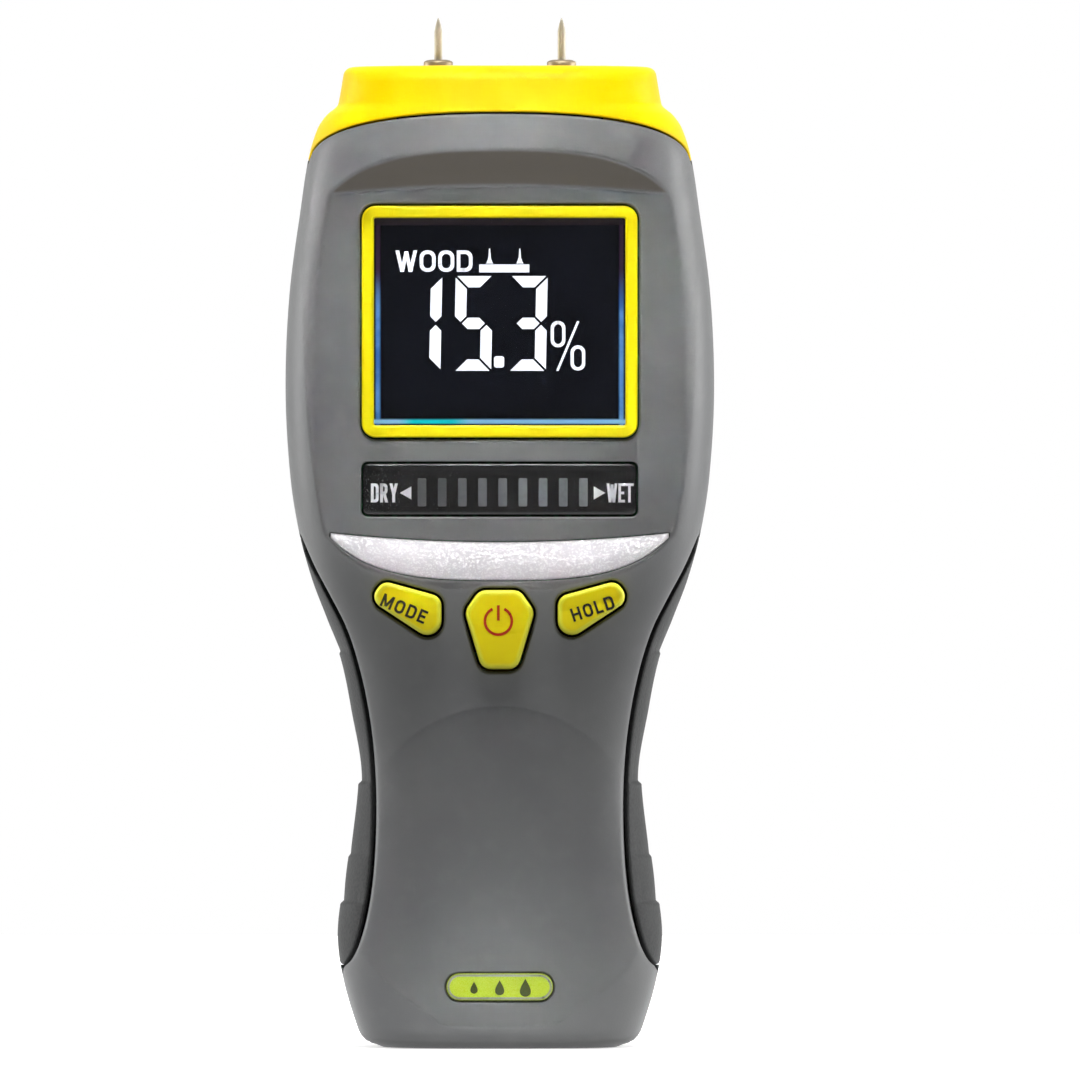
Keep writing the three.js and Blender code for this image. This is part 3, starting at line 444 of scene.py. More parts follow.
frontCurve = curveThrough([
    (0, shape["handleFront"] - 0.2), (handle * 0.15, shape["handleFront"] + 0.9),
    (handle * 0.3, shape["handleFront"] + 0.6), (handle * 0.58, shape["handleFront"]),
    (handle * 0.76, shape["handleFront"] + 1.2), (handle * 0.88, shape["faceFront"] - 2.4),
    (handle * 0.97, shape["faceFront"] - 0.9), (handle + face * 0.06, shape["faceFront"] - 0.2),
    (handle + face * 0.45, shape["faceFront"]), (handle + face * 0.87, shape["faceFront"] + 0.6),
    (browRidge, shape["flatDepth"] + shape["rise"]), (browRidge + head * 0.3, shape["flatDepth"] + 2.5),
    (browRidge + head * 0.55, shape["flatDepth"] + 1.4), (bodyTop, shape["flatDepth"] - 0.6)])
backCurve = curveThrough([
    (0, shape["handleBack"] - 0.5), (handle * 0.12, shape["handleBack"]), (handle * 0.9, shape["handleBack"]),
    (handle + face * 0.2, shape["faceBack"] - 0.3), (handle + face * 0.4, shape["faceBack"]),
    (handle + face * 0.95, shape["faceBack"]), (browRidge + head * 0.55, shape["faceBack"] - 1),
    (bodyTop, shape["faceBack"] - 2.6)])
squareCurve = curveThrough([
    (0, 3), (handle * 0.2, 2.8), (handle * 0.58, 2.6), (handle * 0.78, 2.7), (handle + face * 0.03, 3.8),
    (handle + face * 0.45, 3.6), (handle + face * 0.9, 3.4), (bodyTop, 3.2)])


# How far a quarter-round end has drawn in: radius less the circle's height at that distance.
def roundedIn(distance, radius):
    into = np.clip(radius - distance, 0, radius)
    return radius - np.sqrt(radius ** 2 - into ** 2)


# Half width, front depth, back depth and squareness at a height, less the rounding at the foot and the top.
def sectionAt(z):
    foot = roundedIn(z, shape["footRound"])
    side = roundedIn(bodyTop - z, shape["topRoundSide"])
    crown = roundedIn(bodyTop - z, shape["topRoundFront"])
    return halfCurve(z) - foot - side, frontCurve(z) - foot - crown, backCurve(z) - foot - crown, squareCurve(z)


# The smaller of two depths with the corner between them rounded off.
def softLeast(a, b, k):
    return 0.5 * (a + b - np.sqrt((a - b) ** 2 + k * k))


# A value above zero, zero below it, with the corner between rounded off.
def softPositive(a, k):
    return 0.5 * (a + np.sqrt(a * a + k * k))


# The creases that bound the display's flat: level lines less or plus an arch that grows as the square of x.
def creaseLow(x):
    return handle + shape["trimFacet"] + shape["arch"] * (x / flatHalf) ** 2


def creaseHigh(x):
    return browRidge - shape["browFacet"] - shape["arch"] * (x / flatHalf) ** 2


# Depth of the display's flat with its two facets: level between the creases, rising beyond each.
def flatDepthAt(x, z):
    k = shape["crispness"]
    up = softPositive(z - creaseHigh(x), k) * shape["rise"] / shape["browFacet"]
    down = softPositive(creaseLow(x) - z, k) * shape["rise"] / shape["trimFacet"]
    return shape["flatDepth"] + up + down


# A point of the skin from its angle round the axis and its height: a squared-off ellipse whose radius at each
# angle is (|sin|^n + |cos|^n)^(-1/n), cut by the display's flat in front; inset draws it inwards, straight back
# on the broad faces and sideways on the flanks. Below zero height it runs in over the base to the parting line.
def skin(angle, z, inset=0.0, parting=None):
    level = np.maximum(z, 0)
    half, front, back, square = sectionAt(level)
    sine, cosine = np.sin(angle), np.cos(angle)
    isFront = cosine > 0
    n = np.where(isFront, square, shape["backSquare"])
    radius = (np.abs(sine) ** n + np.abs(cosine) ** n) ** (-1 / n)
    turn = np.abs(np.degrees(np.arctan2(np.abs(sine), np.abs(cosine))))
    flank = np.clip((turn - 42) / 36, 0, 1)
    flank = flank * flank * (3 - 2 * flank)
    x = (half - inset * flank) * radius * sine
    deep = np.where(isFront, front, back) * radius * np.abs(cosine)
    deep = deep - inset * (1 - flank * 0.75) * (np.abs(cosine) > 1e-9)
    cut = softLeast(deep, flatDepthAt(x, level) - inset, shape["crispness"])
    deep = np.where(isFront & (level > 60), cut, deep)
    y = np.where(isFront, -deep, deep)
    if parting is not None:
        along = np.clip(-z / baseReach, 0, 1)
        y = y + (parting - y) * along
    return np.stack([x, y, level + 0 * x], -1)


# The angle of the skin at a place: the ellipse's equation solved for depth, then the arc tangent of x over it.
def angleAt(x, z, isBack=False):
    half, front, back, square = sectionAt(np.maximum(z, 0))
    n = shape["backSquare"] if isBack else square
    across = np.clip(np.abs(x) / half, 0, 1)
    angle = np.arctan2(across, (1 - across ** n) ** (1 / n))
    return np.sign(x) * (np.pi - angle if isBack else angle)


def backSkin(x, z):
    return skin(angleAt(x, z, True), z)[..., 1]


# The height where a facet meets the body's skin, by halving between two heights.
def facetEdge(x, low, high, inside):
    low, high = low + 0 * x, high + 0 * x
    for _ in range(30):
        middle = (low + high) / 2
        test = inside(x, middle)
        low, high = np.where(test, low, middle), np.where(test, middle, high)
    return high


# Depth of the front's squared-off ellipse at a place, without the display's flat.
def bareDepth(x, z):
    half, front, back, square = sectionAt(z)
    return front * (1 - np.clip(np.abs(x) / half, 0, 1) ** square) ** (1 / square)


def facetDepth(beyond, facet):
    # depth of a facet, rising evenly with the distance beyond its crease
    return shape["flatDepth"] + beyond * shape["rise"] / shape[facet]


def ridgeLow(x):
    # where the silver facet runs out under the display
    return facetEdge(x, creaseLow(x) - 13, creaseLow(x),
                     lambda x, z: facetDepth(creaseLow(x) - z, "trimFacet") < bareDepth(x, z))


def ridgeHigh(x):
    # where the brow's facet runs out above the display
    return facetEdge(x, creaseHigh(x) + 12, creaseHigh(x),
                     lambda x, z: facetDepth(z - creaseHigh(x), "browFacet") < bareDepth(x, z))


# seam between the yellow head and the shells: a squared-off arch, highest in the middle
seam = {"rise": 7.7, "power": 2.3, "half": shape["bodyWidth"] / 2 - 4, "top": browRidge + head * 0.436}


def seamHeight(x):
    across = np.clip(np.abs(x) / seam["half"], 0, 1)
    return seam["top"] - seam["rise"] * (1 - (1 - across ** seam["power"]) ** (1 / seam["power"]))


# inner edge of the side grips
gripLow, gripHigh = handle * 0.171, handle + face * 0.11
gripEdge = curveThrough([
    (gripLow, base - 0.4), (handle * 0.188, base - 1.9), (handle * 0.225, base - 3.4),
    (handle * 0.29, waist - 1.4), (handle * 0.37, waist - 2.3), (handle * 0.47, waist - 2.7),
    (handle * 0.58, waist - 2.55), (handle * 0.69, waist - 1.8), (handle * 0.8, waist - 0.2),
    (handle * 0.895, waist + 2), (handle * 0.967, wide - 7.2), (handle + face * 0.034, wide - 4.5),
    (gripHigh, wide - 2)])


# outlines drawn in x and z, anticlockwise

def roundedRect(width, height, radius, x=0.0, z=0.0, spacing=0.5):
    # straight sides and quarter-circle corners, sampled at even spacing
    w, h = width / 2 - radius, height / 2 - radius
    quarter = np.linspace(0, np.pi / 2, max(4, int(radius * 1.57 / spacing) + 2))
    sides = []
    for i, (cx, cz) in enumerate([(w, h), (-w, h), (-w, -h), (w, -h)]):
        angle = quarter + i * np.pi / 2
        sides.append(np.stack([x + cx + radius * np.cos(angle), z + cz + radius * np.sin(angle)], -1))
    return respaced(np.concatenate(sides), spacing)


# A closed loop sampled again at even steps along its length.
def respaced(loop, spacing=0.5, count=None):
    ring = np.concatenate([loop, loop[:1]])
    run = np.concatenate([[0], np.cumsum(np.linalg.norm(np.diff(ring, axis=0), axis=1))])
    count = count or max(12, int(round(run[-1] / spacing)))
    at = np.linspace(0, run[-1], count, endpoint=False)
    return np.stack([np.interp(at, run, ring[:, 0]), np.interp(at, run, ring[:, 1])], -1)


# A polygon of (x, z, radius) corners with each corner a circular arc, grown outwards.
def roundedPolygon(corners, grow=0.0, spacing=0.35):
    c = np.array(corners, float)
    here, radius = c[:, :2], c[:, 2:3]
    back = np.roll(here, 1, 0) - here
    on = np.roll(here, -1, 0) - here
    back /= np.linalg.norm(back, axis=1, keepdims=True)
    on /= np.linalg.norm(on, axis=1, keepdims=True)
    half = np.arccos((back * on).sum(1, keepdims=True)) / 2
    inward = (back + on) / np.linalg.norm(back + on, axis=1, keepdims=True)
    centre = here + inward * radius / np.sin(half)
    start = np.arctan2(-inward[:, 1:], -inward[:, :1]) - (np.pi / 2 - half)
    angle = start + (np.pi - 2 * half) * np.linspace(0, 1, 9)[None]
    points = centre[:, None] + (radius + grow)[:, None] * np.stack([np.cos(angle), np.sin(angle)], -1)
    return respaced(points.reshape(-1, 2), spacing)


# A loop or open line moved sideways, to its right when sampled anticlockwise, by a distance.
def offsetLine(line, distance, closed=True):
    if closed:
        along = np.roll(line, -1, 0) - np.roll(line, 1, 0)
    else:
        along = np.gradient(line, axis=0)
    along /= np.maximum(np.linalg.norm(along, axis=1, keepdims=True), 1e-9)
    return line + distance * np.stack([along[:, 1], -along[:, 0]], -1)


def inside(points, loop):
    # even-odd rule: count the loop's sides crossed by a ray from each point
    a, b = loop, np.roll(loop, -1, 0)
    hits = np.zeros(len(points), bool)
    for start in range(0, len(points), 20000):
        p = points[start:start + 20000, None]
        rises = (a[None, :, 1] > p[..., 1]) != (b[None, :, 1] > p[..., 1])
        slope = (b[:, 0] - a[:, 0]) / np.where(b[:, 1] == a[:, 1], 1e-12, b[:, 1] - a[:, 1])
        crossing = a[None, :, 0] + (p[..., 1] - a[None, :, 1]) * slope[None]
        hits[start:start + 20000] = (rises & (p[..., 0] < crossing)).sum(1) % 2 == 1
    return hits


# mesh making

def gridFaces(rows, cols, aroundRows=False, aroundCols=False):
    # quads of a rows by cols grid of points, joined round in either direction
    r = np.arange(rows if aroundRows else rows - 1)
    c = np.arange(cols if aroundCols else cols - 1)
    i, j = np.meshgrid(r, c, indexing="ij")
    i2, j2 = (i + 1) % rows, (j + 1) % cols
    return np.stack([i * cols + j, i * cols + j2, i2 * cols + j2, i2 * cols + j], -1).reshape(-1, 4)


# A grid of points whose x, y and z are numbers, rows or columns, each spread over the whole grid.
def sheet(x, y, z):
    return np.stack(np.broadcast_arrays(x, y, z), -1)


# A closed solid from two grids of points: outside, inside turned round, and a rim that joins their edges.
def closedPatch(outer, inner):
    rows, cols = outer.shape[:2]
    count = rows * cols
    faces = gridFaces(rows, cols)
    index = np.arange(count).reshape(rows, cols)
    edge = np.concatenate([index[0, :], index[1:, -1], index[-1, -2::-1], index[-2:0:-1, 0]])
    nxt = np.roll(edge, -1)
    rim = np.stack([nxt, edge, edge + count, nxt + count], -1)
    return np.concatenate([outer.reshape(-1, 3), inner.reshape(-1, 3)]), [faces, faces[:, ::-1] + count, rim]


def facesOut(points, faces):
    # turn every face round if the volume they enclose comes out negative
    volume = 0.0
    for group in faces:
        a = points[group[:, 0]]
        for k in range(1, group.shape[1] - 1):
            volume += np.einsum("ij,ij->i", a, np.cross(points[group[:, k]], points[group[:, k + 1]])).sum()
    return faces if volume > 0 else [group[:, ::-1] for group in faces]


# A mesh object from points in millimetres and groups of faces, smooth but for edges sharper than an angle, with
# its masks as point attributes; it rides a body and may stand for pieces of the frame.
def makePiece(name, points, faces, material, body=housing, replaces=(), sharp=38, masks=None):
    points, faces = np.asarray(points, float), [np.asarray(f) for f in faces]
    faces = facesOut(points, faces)
    mesh = bpy.data.meshes.new(name)
    mesh.from_pydata((points / 1000).tolist(), [], [f for group in faces for f in group.tolist()])
    for key, values in (masks or {}).items():
        mesh.attributes.new(key, "FLOAT", "POINT").data.foreach_set("value", np.asarray(values, np.float32))
    edit = bmesh.new()
    edit.from_mesh(mesh)
    bmesh.ops.remove_doubles(edit, verts=edit.verts, dist=2e-6)
    bmesh.ops.dissolve_degenerate(edit, edges=edit.edges, dist=1e-6)
    edit.to_mesh(mesh)
    edit.free()
    mesh.shade_smooth()
    mesh.set_sharp_from_angle(angle=math.radians(sharp))
    mesh.materials.append(material)
    piece = bpy.data.objects.new(name, mesh)
    bpy.context.scene.collection.objects.link(piece)
    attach(piece, body)
    if replaces:
        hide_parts(*replaces)
    return piece


# The steps of a quarter-round edge: (distance from the edge, depth below the face), from the edge inwards.
def roundSteps(radius, count=4):
    angle = np.linspace(0, np.pi / 2, count + 1)
    return list(zip(radius * (1 - np.cos(angle)), radius * (1 - np.sin(angle))))


# A solid with a rounded front edge over any outline: rings step in from the outline over the rounded edge,
# then shrink to the middle, and the same behind without the rounding; depthAt gives the face's depth at x, z.
def capSolid(outline, depthAt, backAt, radius, rings=14, side=-1):
    centre = outline.mean(0)
    front = [(offsetLine(outline, -distance), drop) for distance, drop in roundSteps(radius)]
    last = front[-1][0]
    front += [(centre + (last - centre) * t, 0.0) for t in np.linspace(1, 0, rings + 1)[1:]]
    back = [centre + (outline - centre) * t for t in (1, 0.5, 0)]
    rows = [sheet(l[:, 0], side * backAt(l[:, 0], l[:, 1]), l[:, 1]) for l in reversed(back)]
    rows += [sheet(l[:, 0], side * (depthAt(l[:, 0], l[:, 1]) - drop), l[:, 1]) for l, drop in front]
    points = np.stack(rows)
    return points.reshape(-1, 3), [gridFaces(len(rows), len(outline), aroundCols=True)]


# A turned solid: (radius, height) pairs carried round an axis, along z or along y.
def turnedSolid(profile, x, y, around=48, axis="z", z=0.0):
    profile = np.array(profile, float)
    angle = np.linspace(0, 2 * np.pi, around, endpoint=False)
    r, h = profile[:, 0][:, None], profile[:, 1][:, None]
    a, b, c = r * np.cos(angle), r * np.sin(angle), h + 0 * angle
    points = np.stack([x + a, y + b, c], -1) if axis == "z" else np.stack([x + a, c, z + b], -1)
    return points.reshape(-1, 3), [gridFaces(len(profile), around, aroundCols=True)]


# Skin cut to an outline: a triangulation in the plane of (angle x 32 mm, height) that follows every outline,
# with rings beside each one that drop away in a quarter round; the inner wall is the same net drawn inwards.
panelSet = {"around": 32.0, "spacing": 0.85, "clear": 0.42, "wall": 2.2, "gripEdge": 0.6, "gripClear": 0.25,
            "headEdge": 0.45, "headClear": 0.15, "partEdge": 0.2, "partClear": 0.15}


def flatten(points, isBack=False):
    # x, z on the skin to the plane of the net; the back's angle is measured from its own middle
    x, z = points[:, 0], points[:, 1]
    angle = np.sign(x) * (np.pi - angleAt(np.abs(x) + 1e-9, z, True)) if isBack else angleAt(x, z)
    return np.stack([angle * panelSet["around"], z], -1)


# Lines and a net of staggered points are triangulated together; triangles that keep refuses or that lie in a hole
# go; the rest is bent round the skin, doubled inwards by the wall and closed along its boundary.
def cutPanel(limits, lines, holes, keep, parting, centreAngle=0.0):
    p = panelSet
    points, drops, edges = [], [], []
    count = 0
    for line, drop, closed in lines:
        n = len(line)
        points.append(line)
        drops.append(np.full(n, drop))
        index = np.arange(n) + count
        sides = np.stack([index, np.roll(index, -1)], -1)
        edges.append(sides if closed else sides[:-1])
        count += n
    chain = np.concatenate(points)
    edges = np.concatenate(edges)
    (u0, u1), (z0, z1) = limits
    step = p["spacing"]
    us, zs = np.meshgrid(np.arange(u0, u1, step), np.arange(z0, z1, step * 0.9))
    us = us + (np.arange(us.shape[0]) % 2)[:, None] * step / 2
    net = np.stack([us.ravel(), zs.ravel()], -1)
    # leave out net points that stand too close to a line, by marking cells round every line
    cell = 0.14
    a, b = chain[edges[:, 0]], chain[edges[:, 1]]
    t = np.linspace(0, 1, 8)[None, :, None]
    dense = (a[:, None] + (b - a)[:, None] * t).reshape(-1, 2)
    shapeCells = (int((u1 - u0) / cell) + 20, int((z1 - z0) / cell) + 20)
    mark = np.zeros(shapeCells, bool)
    at = np.clip(((dense - [u0, z0]) / cell).astype(int) + 8, 8, np.array(shapeCells) - 9)
    mark[at[:, 0], at[:, 1]] = True
    reach = int(round(p["clear"] / cell))
    wideMark = mark.copy()
    for dx in range(-reach, reach + 1):
        for dz in range(-reach, reach + 1):
            if dx * dx + dz * dz <= reach * reach:
                wideMark |= np.roll(np.roll(mark, dx, 0), dz, 1)
    at = np.clip(((net - [u0, z0]) / cell).astype(int) + 8, 0, np.array(shapeCells) - 1)
    net = net[~wideMark[at[:, 0], at[:, 1]]]
    allPoints = np.concatenate([chain, net])
    allDrops = np.concatenate(drops + [np.zeros(len(net))])
    where = [Vector(point) for point in allPoints.tolist()]
    verts, _, faces, origins, _, _ = delaunay_2d_cdt(where, edges.tolist(), [], 0, 1e-5)
    flat = np.array([tuple(v) for v in verts])
    drop = np.array([allDrops[o].max() if len(o) else 0.0 for o in origins])
    faces = np.array(faces)
    middle = flat[faces].mean(1)
    good = keep(middle)
    for hole in holes:
        good &= ~inside(middle, hole)
    faces = faces[good]
    used, faces = np.unique(faces, return_inverse=True)
    faces = faces.reshape(-1, 3)
    flat, drop = flat[used], drop[used]
    # boundary sides belong to one triangle only
    sides = np.concatenate([faces[:, [0, 1]], faces[:, [1, 2]], faces[:, [2, 0]]])
    key = np.sort(sides, 1)
    _, first, repeats = np.unique(key, axis=0, return_index=True, return_counts=True)
    rim = sides[first[repeats == 1]]
    angle, z = flat[:, 0] / p["around"] + centreAngle, flat[:, 1]
    outer = skin(angle, z, drop, parting)
    inner = skin(angle, z, p["wall"], parting)
    inner[:, 2] = np.maximum(inner[:, 2], p["wall"])
    n = len(flat)
    walls = np.stack([rim[:, 1], rim[:, 0], rim[:, 0] + n, rim[:, 1] + n], -1)
    return np.concatenate([outer, inner]), [faces, faces[:, ::-1] + n, walls]


# lines beside a loop that make its rounded edge: (line, drop, closed), the loop itself first
def edgeLines(line, radius, isBack=False, count=4):
    return [(flatten(offsetLine(line, distance), isBack), drop, True)
            for distance, drop in roundSteps(radius, count)]


# front housing shell

display = {"width": 45.1, "height": 37.9, "band": 2.0, "radius": 2.3, "centre": handle + 42.4, "front": 17.3,
           "hidden": 1.6}
bars = {"width": 45.3, "height": 9.0, "centre": handle + 15.0, "count": 9, "pitch": 3.3, "front": 16.6}
badgeSet = {"width": 17.4, "height": 4.4, "level": 10.2}
keyLevel = handle - 7.9
sideCorners = [(9.5, keyLevel + 5.3, 2.0), (9.5, keyLevel - 2.9, 2.3), (21.3, keyLevel + 4.9, 1.9),
               (19.0, keyLevel + 7.9, 1.8)]
powerCorners = [(-3.3, keyLevel + 6.4, 2.2), (-5.75, keyLevel + 2.9, 2.4), (-2.9, keyLevel - 6.5, 2.0),
                (2.9, keyLevel - 6.5, 2.0), (5.75, keyLevel + 2.9, 2.4), (3.3, keyLevel + 6.4, 2.2)]
keyCorners = {"mode": [(-x, z, r) for x, z, r in reversed(sideCorners)], "power": powerCorners,
              "hold": sideCorners}
keyGap = 0.42


def trimOutline(clearance):
    # the silver facet's crescent: the ridge below and the crease above, meeting at two tips
    tip = flatHalf - 0.02 - 2 * clearance
    x = -tip * np.cos(np.linspace(0, np.pi, 90))
    lower = np.minimum(ridgeLow(x) + clearance, creaseLow(x) - clearance - 0.12)
    upper = (creaseLow(x) - clearance)[::-1]
    return respaced(np.concatenate([np.stack([x, lower], -1), np.stack([x[::-1], upper], -1)]), 0.5)


# The angle of the back skin where it stands at a given depth: the ellipse's equation solved the other way.
def partingAngle(z, y):
    back = sectionAt(np.maximum(z, 0))[2]
    deep = y / back
    n = shape["backSquare"]
    return np.pi - np.arctan2((1 - deep ** n) ** (1 / n), deep)


def gripLine(side, clearance=0.0):
    # a grip's inner edge from its foot to its head, no farther out than the outline
    z = np.linspace(gripLow - clearance, gripHigh + clearance, 150)
    x = side * np.minimum(gripEdge(z) - clearance, halfCurve(z) - 0.02)
    return np.stack([x, z], -1)


def seamLine(drop=0.0):
    # x from side to side, the seam's height lowered by its clearance
    x = np.linspace(-1, 1, 181) * (halfCurve(browRidge - 1.6) + 3)
    line = np.stack([x, seamHeight(x) - panelSet["headClear"] - drop], -1)
    return line[np.abs(line[:, 0]) < halfCurve(line[:, 1])]


# What both shells end at: rounded edges beside the grips, under the head and down the parting, and the base's
# edge, reach radians to each side; keep is true between them all.
def shellEnds(isBack, reach, count):
    p = panelSet
    u, clear = p["around"], p["gripClear"]
    away = 1 if isBack else -1
    yPart = shape["parting"] + away * p["partClear"]

    def partAt(z, y):
        return np.pi - partingAngle(z, y) if isBack else partingAngle(z, y)

    lines = []
    for side in (-1, 1):
        for distance, drop in roundSteps(p["gripEdge"]):
            line = gripLine(side, clear)
            line[:, 0] -= side * distance
            lines.append((flatten(line, isBack), drop, False))
    for distance, drop in roundSteps(p["headEdge"]):
        lines.append((flatten(seamLine(distance), isBack), drop, False))
    edgeZ = np.concatenate([np.linspace(-baseReach, 0, 12)[:-1], np.linspace(0, browRidge + 2, 300)])
    for distance, drop in roundSteps(p["partEdge"], 2):
        angle = partAt(edgeZ, yPart + away * distance)
        for side in (-1, 1):
            lines.append((np.stack([side * angle * u, edgeZ], -1), drop, False))
    lines.append((np.stack([np.linspace(-reach, reach, count) * u, np.zeros(count)], -1), 0.0, False))

    def keep(middle):
        angle, z = middle[:, 0] / u, middle[:, 1]
        x = skin(np.pi - angle if isBack else angle, z)[:, 0]
        good = (np.abs(angle) < partAt(z, yPart)) & (z < seamHeight(x) - p["headClear"]) & (z > -baseReach)
        return good & ~((np.abs(x) > gripEdge(z) - clear) & (z > gripLow - clear) & (z < gripHigh + clear))
    return lines, keep, yPart


# The front half of the skin, with openings for the display, bars, badge, keys and silver facet.
def frontShell():
    u = panelSet["around"]
    openings = [
        (roundedRect(display["width"] + 0.6, display["height"] + 0.6, display["radius"] + 0.3, 0,
                     display["centre"]), 0.5),
        (roundedRect(bars["width"], bars["height"], 1.0, 0, bars["centre"]), 0.3),
        (roundedRect(badgeSet["width"] + 0.5, badgeSet["height"] + 0.5, badgeSet["height"] / 2 + 0.24, 0,
                     badgeSet["level"], 0.35), 0.25),
        *[(roundedPolygon(corners, keyGap), 0.55) for corners in keyCorners.values()]]
    lines = []
    for hole, radius in openings:
        lines += edgeLines(hole, radius)
    crescent = trimOutline(0.0)
    lines += edgeLines(crescent, 0.12, count=2)
    holes = [hole for hole, _ in openings] + [crescent]
    # creases and ridges of the display's flat, each with close neighbours to carry its rounding
    x = np.linspace(-flatHalf, flatHalf, 120)
    ridge, crease = np.stack([x, ridgeHigh(x)], -1), np.stack([x, creaseHigh(x)], -1)
    z = np.linspace(creaseLow(flatHalf) + 0.4, creaseHigh(flatHalf) - 0.4, 120)
    flankX = facetEdge(z, 24.0, halfCurve(z), lambda z, x: bareDepth(x, z) < shape["flatDepth"])
    flank = np.stack([flankX, z], -1)
    for line in (ridge, crease, flank, flank * [-1, 1]):
        for shift in (-0.6, -0.3, 0.0, 0.3, 0.6):
            lines.append((flatten(offsetLine(line, shift, False)), 0.0, False))
    lowRidge = np.stack([x, ridgeLow(x)], -1)
    for shift in (0.35, 0.7):
        lines.append((flatten(offsetLine(lowRidge, shift, False)), 0.0, False))
    ends, keep, yPart = shellEnds(False, 1.75, 160)
    limits = ((-1.75 * u, 1.75 * u), (-baseReach, bodyTop - 6))
    points, faces = cutPanel(limits, lines + ends, [flatten(h) for h in holes], keep, yPart)
    x, z = points[:, 0], points[:, 2]
    # mask over the brow's facet, where the housing's colour is painted darker as shade
    above = np.clip((z - creaseHigh(x)) / 0.35, 0, 1) * np.clip((ridgeHigh(x) - z) / 0.35, 0, 1)
    mask = np.where((points[:, 1] < 0) & (np.abs(x) < flatHalf) & (z > 120), above, 0)
    makePiece("frontHousing", points, faces, mats["shellPlastic"],
              replaces=["front_shell"], masks={"browFacet": mask})


frontShell()
print("front housing made")

# rear housing shell

door = {"width": 29.8, "height": 53.4, "radius": 2.7, "level": 39.0, "thickness": 2.0, "edge": 0.5,
        "ribLevel": 56.0, "ribPitch": 1.8, "ribHeight": 0.4, "arrowTip": 45.5, "arrowTop": 48.6, "arrowDepth": 0.25,
        "feet": (-8.0, 8.0)}
plate = {"width": 34.0, "height": 22.0, "radius": 1.8, "level": display["centre"] - 4}
topScrew, footScrew = top - 7.5, base - 11.7
screwPlaces = [(-topScrew, browRidge - 2), (topScrew, browRidge - 2), (-footScrew, 7.0), (footScrew, 7.0)]
wellRadius = 2.9


def circle(radius, x, z, count=48):
    # even steps round a circle
    angle = np.linspace(0, 2 * np.pi, count, endpoint=False)
    return np.stack([x + radius * np.cos(angle), z + radius * np.sin(angle)], -1)


# The back half of the skin, with openings for the door, the plate and the screws.
def rearShell():
    u = panelSet["around"]
    openings = [
        (roundedRect(door["width"] + 0.6, door["height"] + 0.6, door["radius"] + 0.3, 0, door["level"]), 0.5),
        (roundedRect(plate["width"] + 0.5, plate["height"] + 0.5, plate["radius"] + 0.25, 0, plate["level"]), 0.2),
        *[(circle(wellRadius, x, z), 0.45) for x, z in screwPlaces]]
    lines = []
    for hole, radius in openings:
        lines += edgeLines(hole, radius, True)
    ends, keep, yPart = shellEnds(True, 1.55, 150)
    limits = ((-1.6 * u, 1.6 * u), (-baseReach, bodyTop - 6))
    holes = [flatten(hole, True) for hole, _ in openings]
    points, faces = cutPanel(limits, lines + ends, holes, keep, yPart, np.pi)
    makePiece("rearHousing", points, faces, mats["shellPlastic"], replaces=["rear_shell"])


rearShell()
print("rear housing made")


# Battery bay: two plain ribs beside the battery, each a grid bent at its ends, thick as the wall.
baySet = {"width": 26.5, "clear": 0.6, "thick": 1.6, "low": 15.5, "high": 66.0, "near": 2.4, "far": 12.6,
          "wave": 0.12}


def bayWalls():
    s = baySet
    inner = s["width"] / 2 + s["clear"]
    z = np.linspace(s["low"], s["high"], 60)[:, None]
    y = np.linspace(s["near"], s["far"], 14)[None]
    wave = s["wave"] * np.sin(z / 3.1) * (y > 3)
    for side, name in ((-1, "leftBayRib"), (1, "rightBayRib")):
        points, faces = closedPatch(sheet(side * (inner + s["thick"]), y, z), sheet(side * (inner + wave), y, z))
        makePiece(name, points, faces, mats["doorPlastic"])


bayWalls()


# Screw wells: a cup turned about each screw, from just under the skin to the seat its head bears on.
wellSet = {"seat": 8.6, "bore": 1.6, "wall": 0.9, "floor": 1.4}


def screwWells():
    seat, bore, outside = wellSet["seat"], wellSet["bore"], wellRadius + wellSet["wall"]
    under = seat - wellSet["floor"]
    for i, (x, z) in enumerate(screwPlaces):
        mouth = float(backSkin(np.array([x]), np.array([z]))[0]) - 0.45
        profile = [(bore, seat), (2.75, seat), (wellRadius, seat + 0.15), (wellRadius, mouth), (outside, mouth - 0.3),
                   (outside, under), (bore, under), (bore, seat)]
        points, faces = turnedSolid(profile, x, 0, 40, "y", z)
        makePiece(f"screwWell{i + 1}", points, faces, mats["doorPlastic"])


screwWells()
print("rear details made")


# Head: rings of the skin from the seam up over the shoulder, the neck and the rounded top, then in to the
# middle of the flat; the lower edge is a quarter round, and the wall is the same rings drawn inwards.
headSet = {"around": 300, "rows": 150, "wall": 2.3, "edge": 0.45, "clear": 0.15}


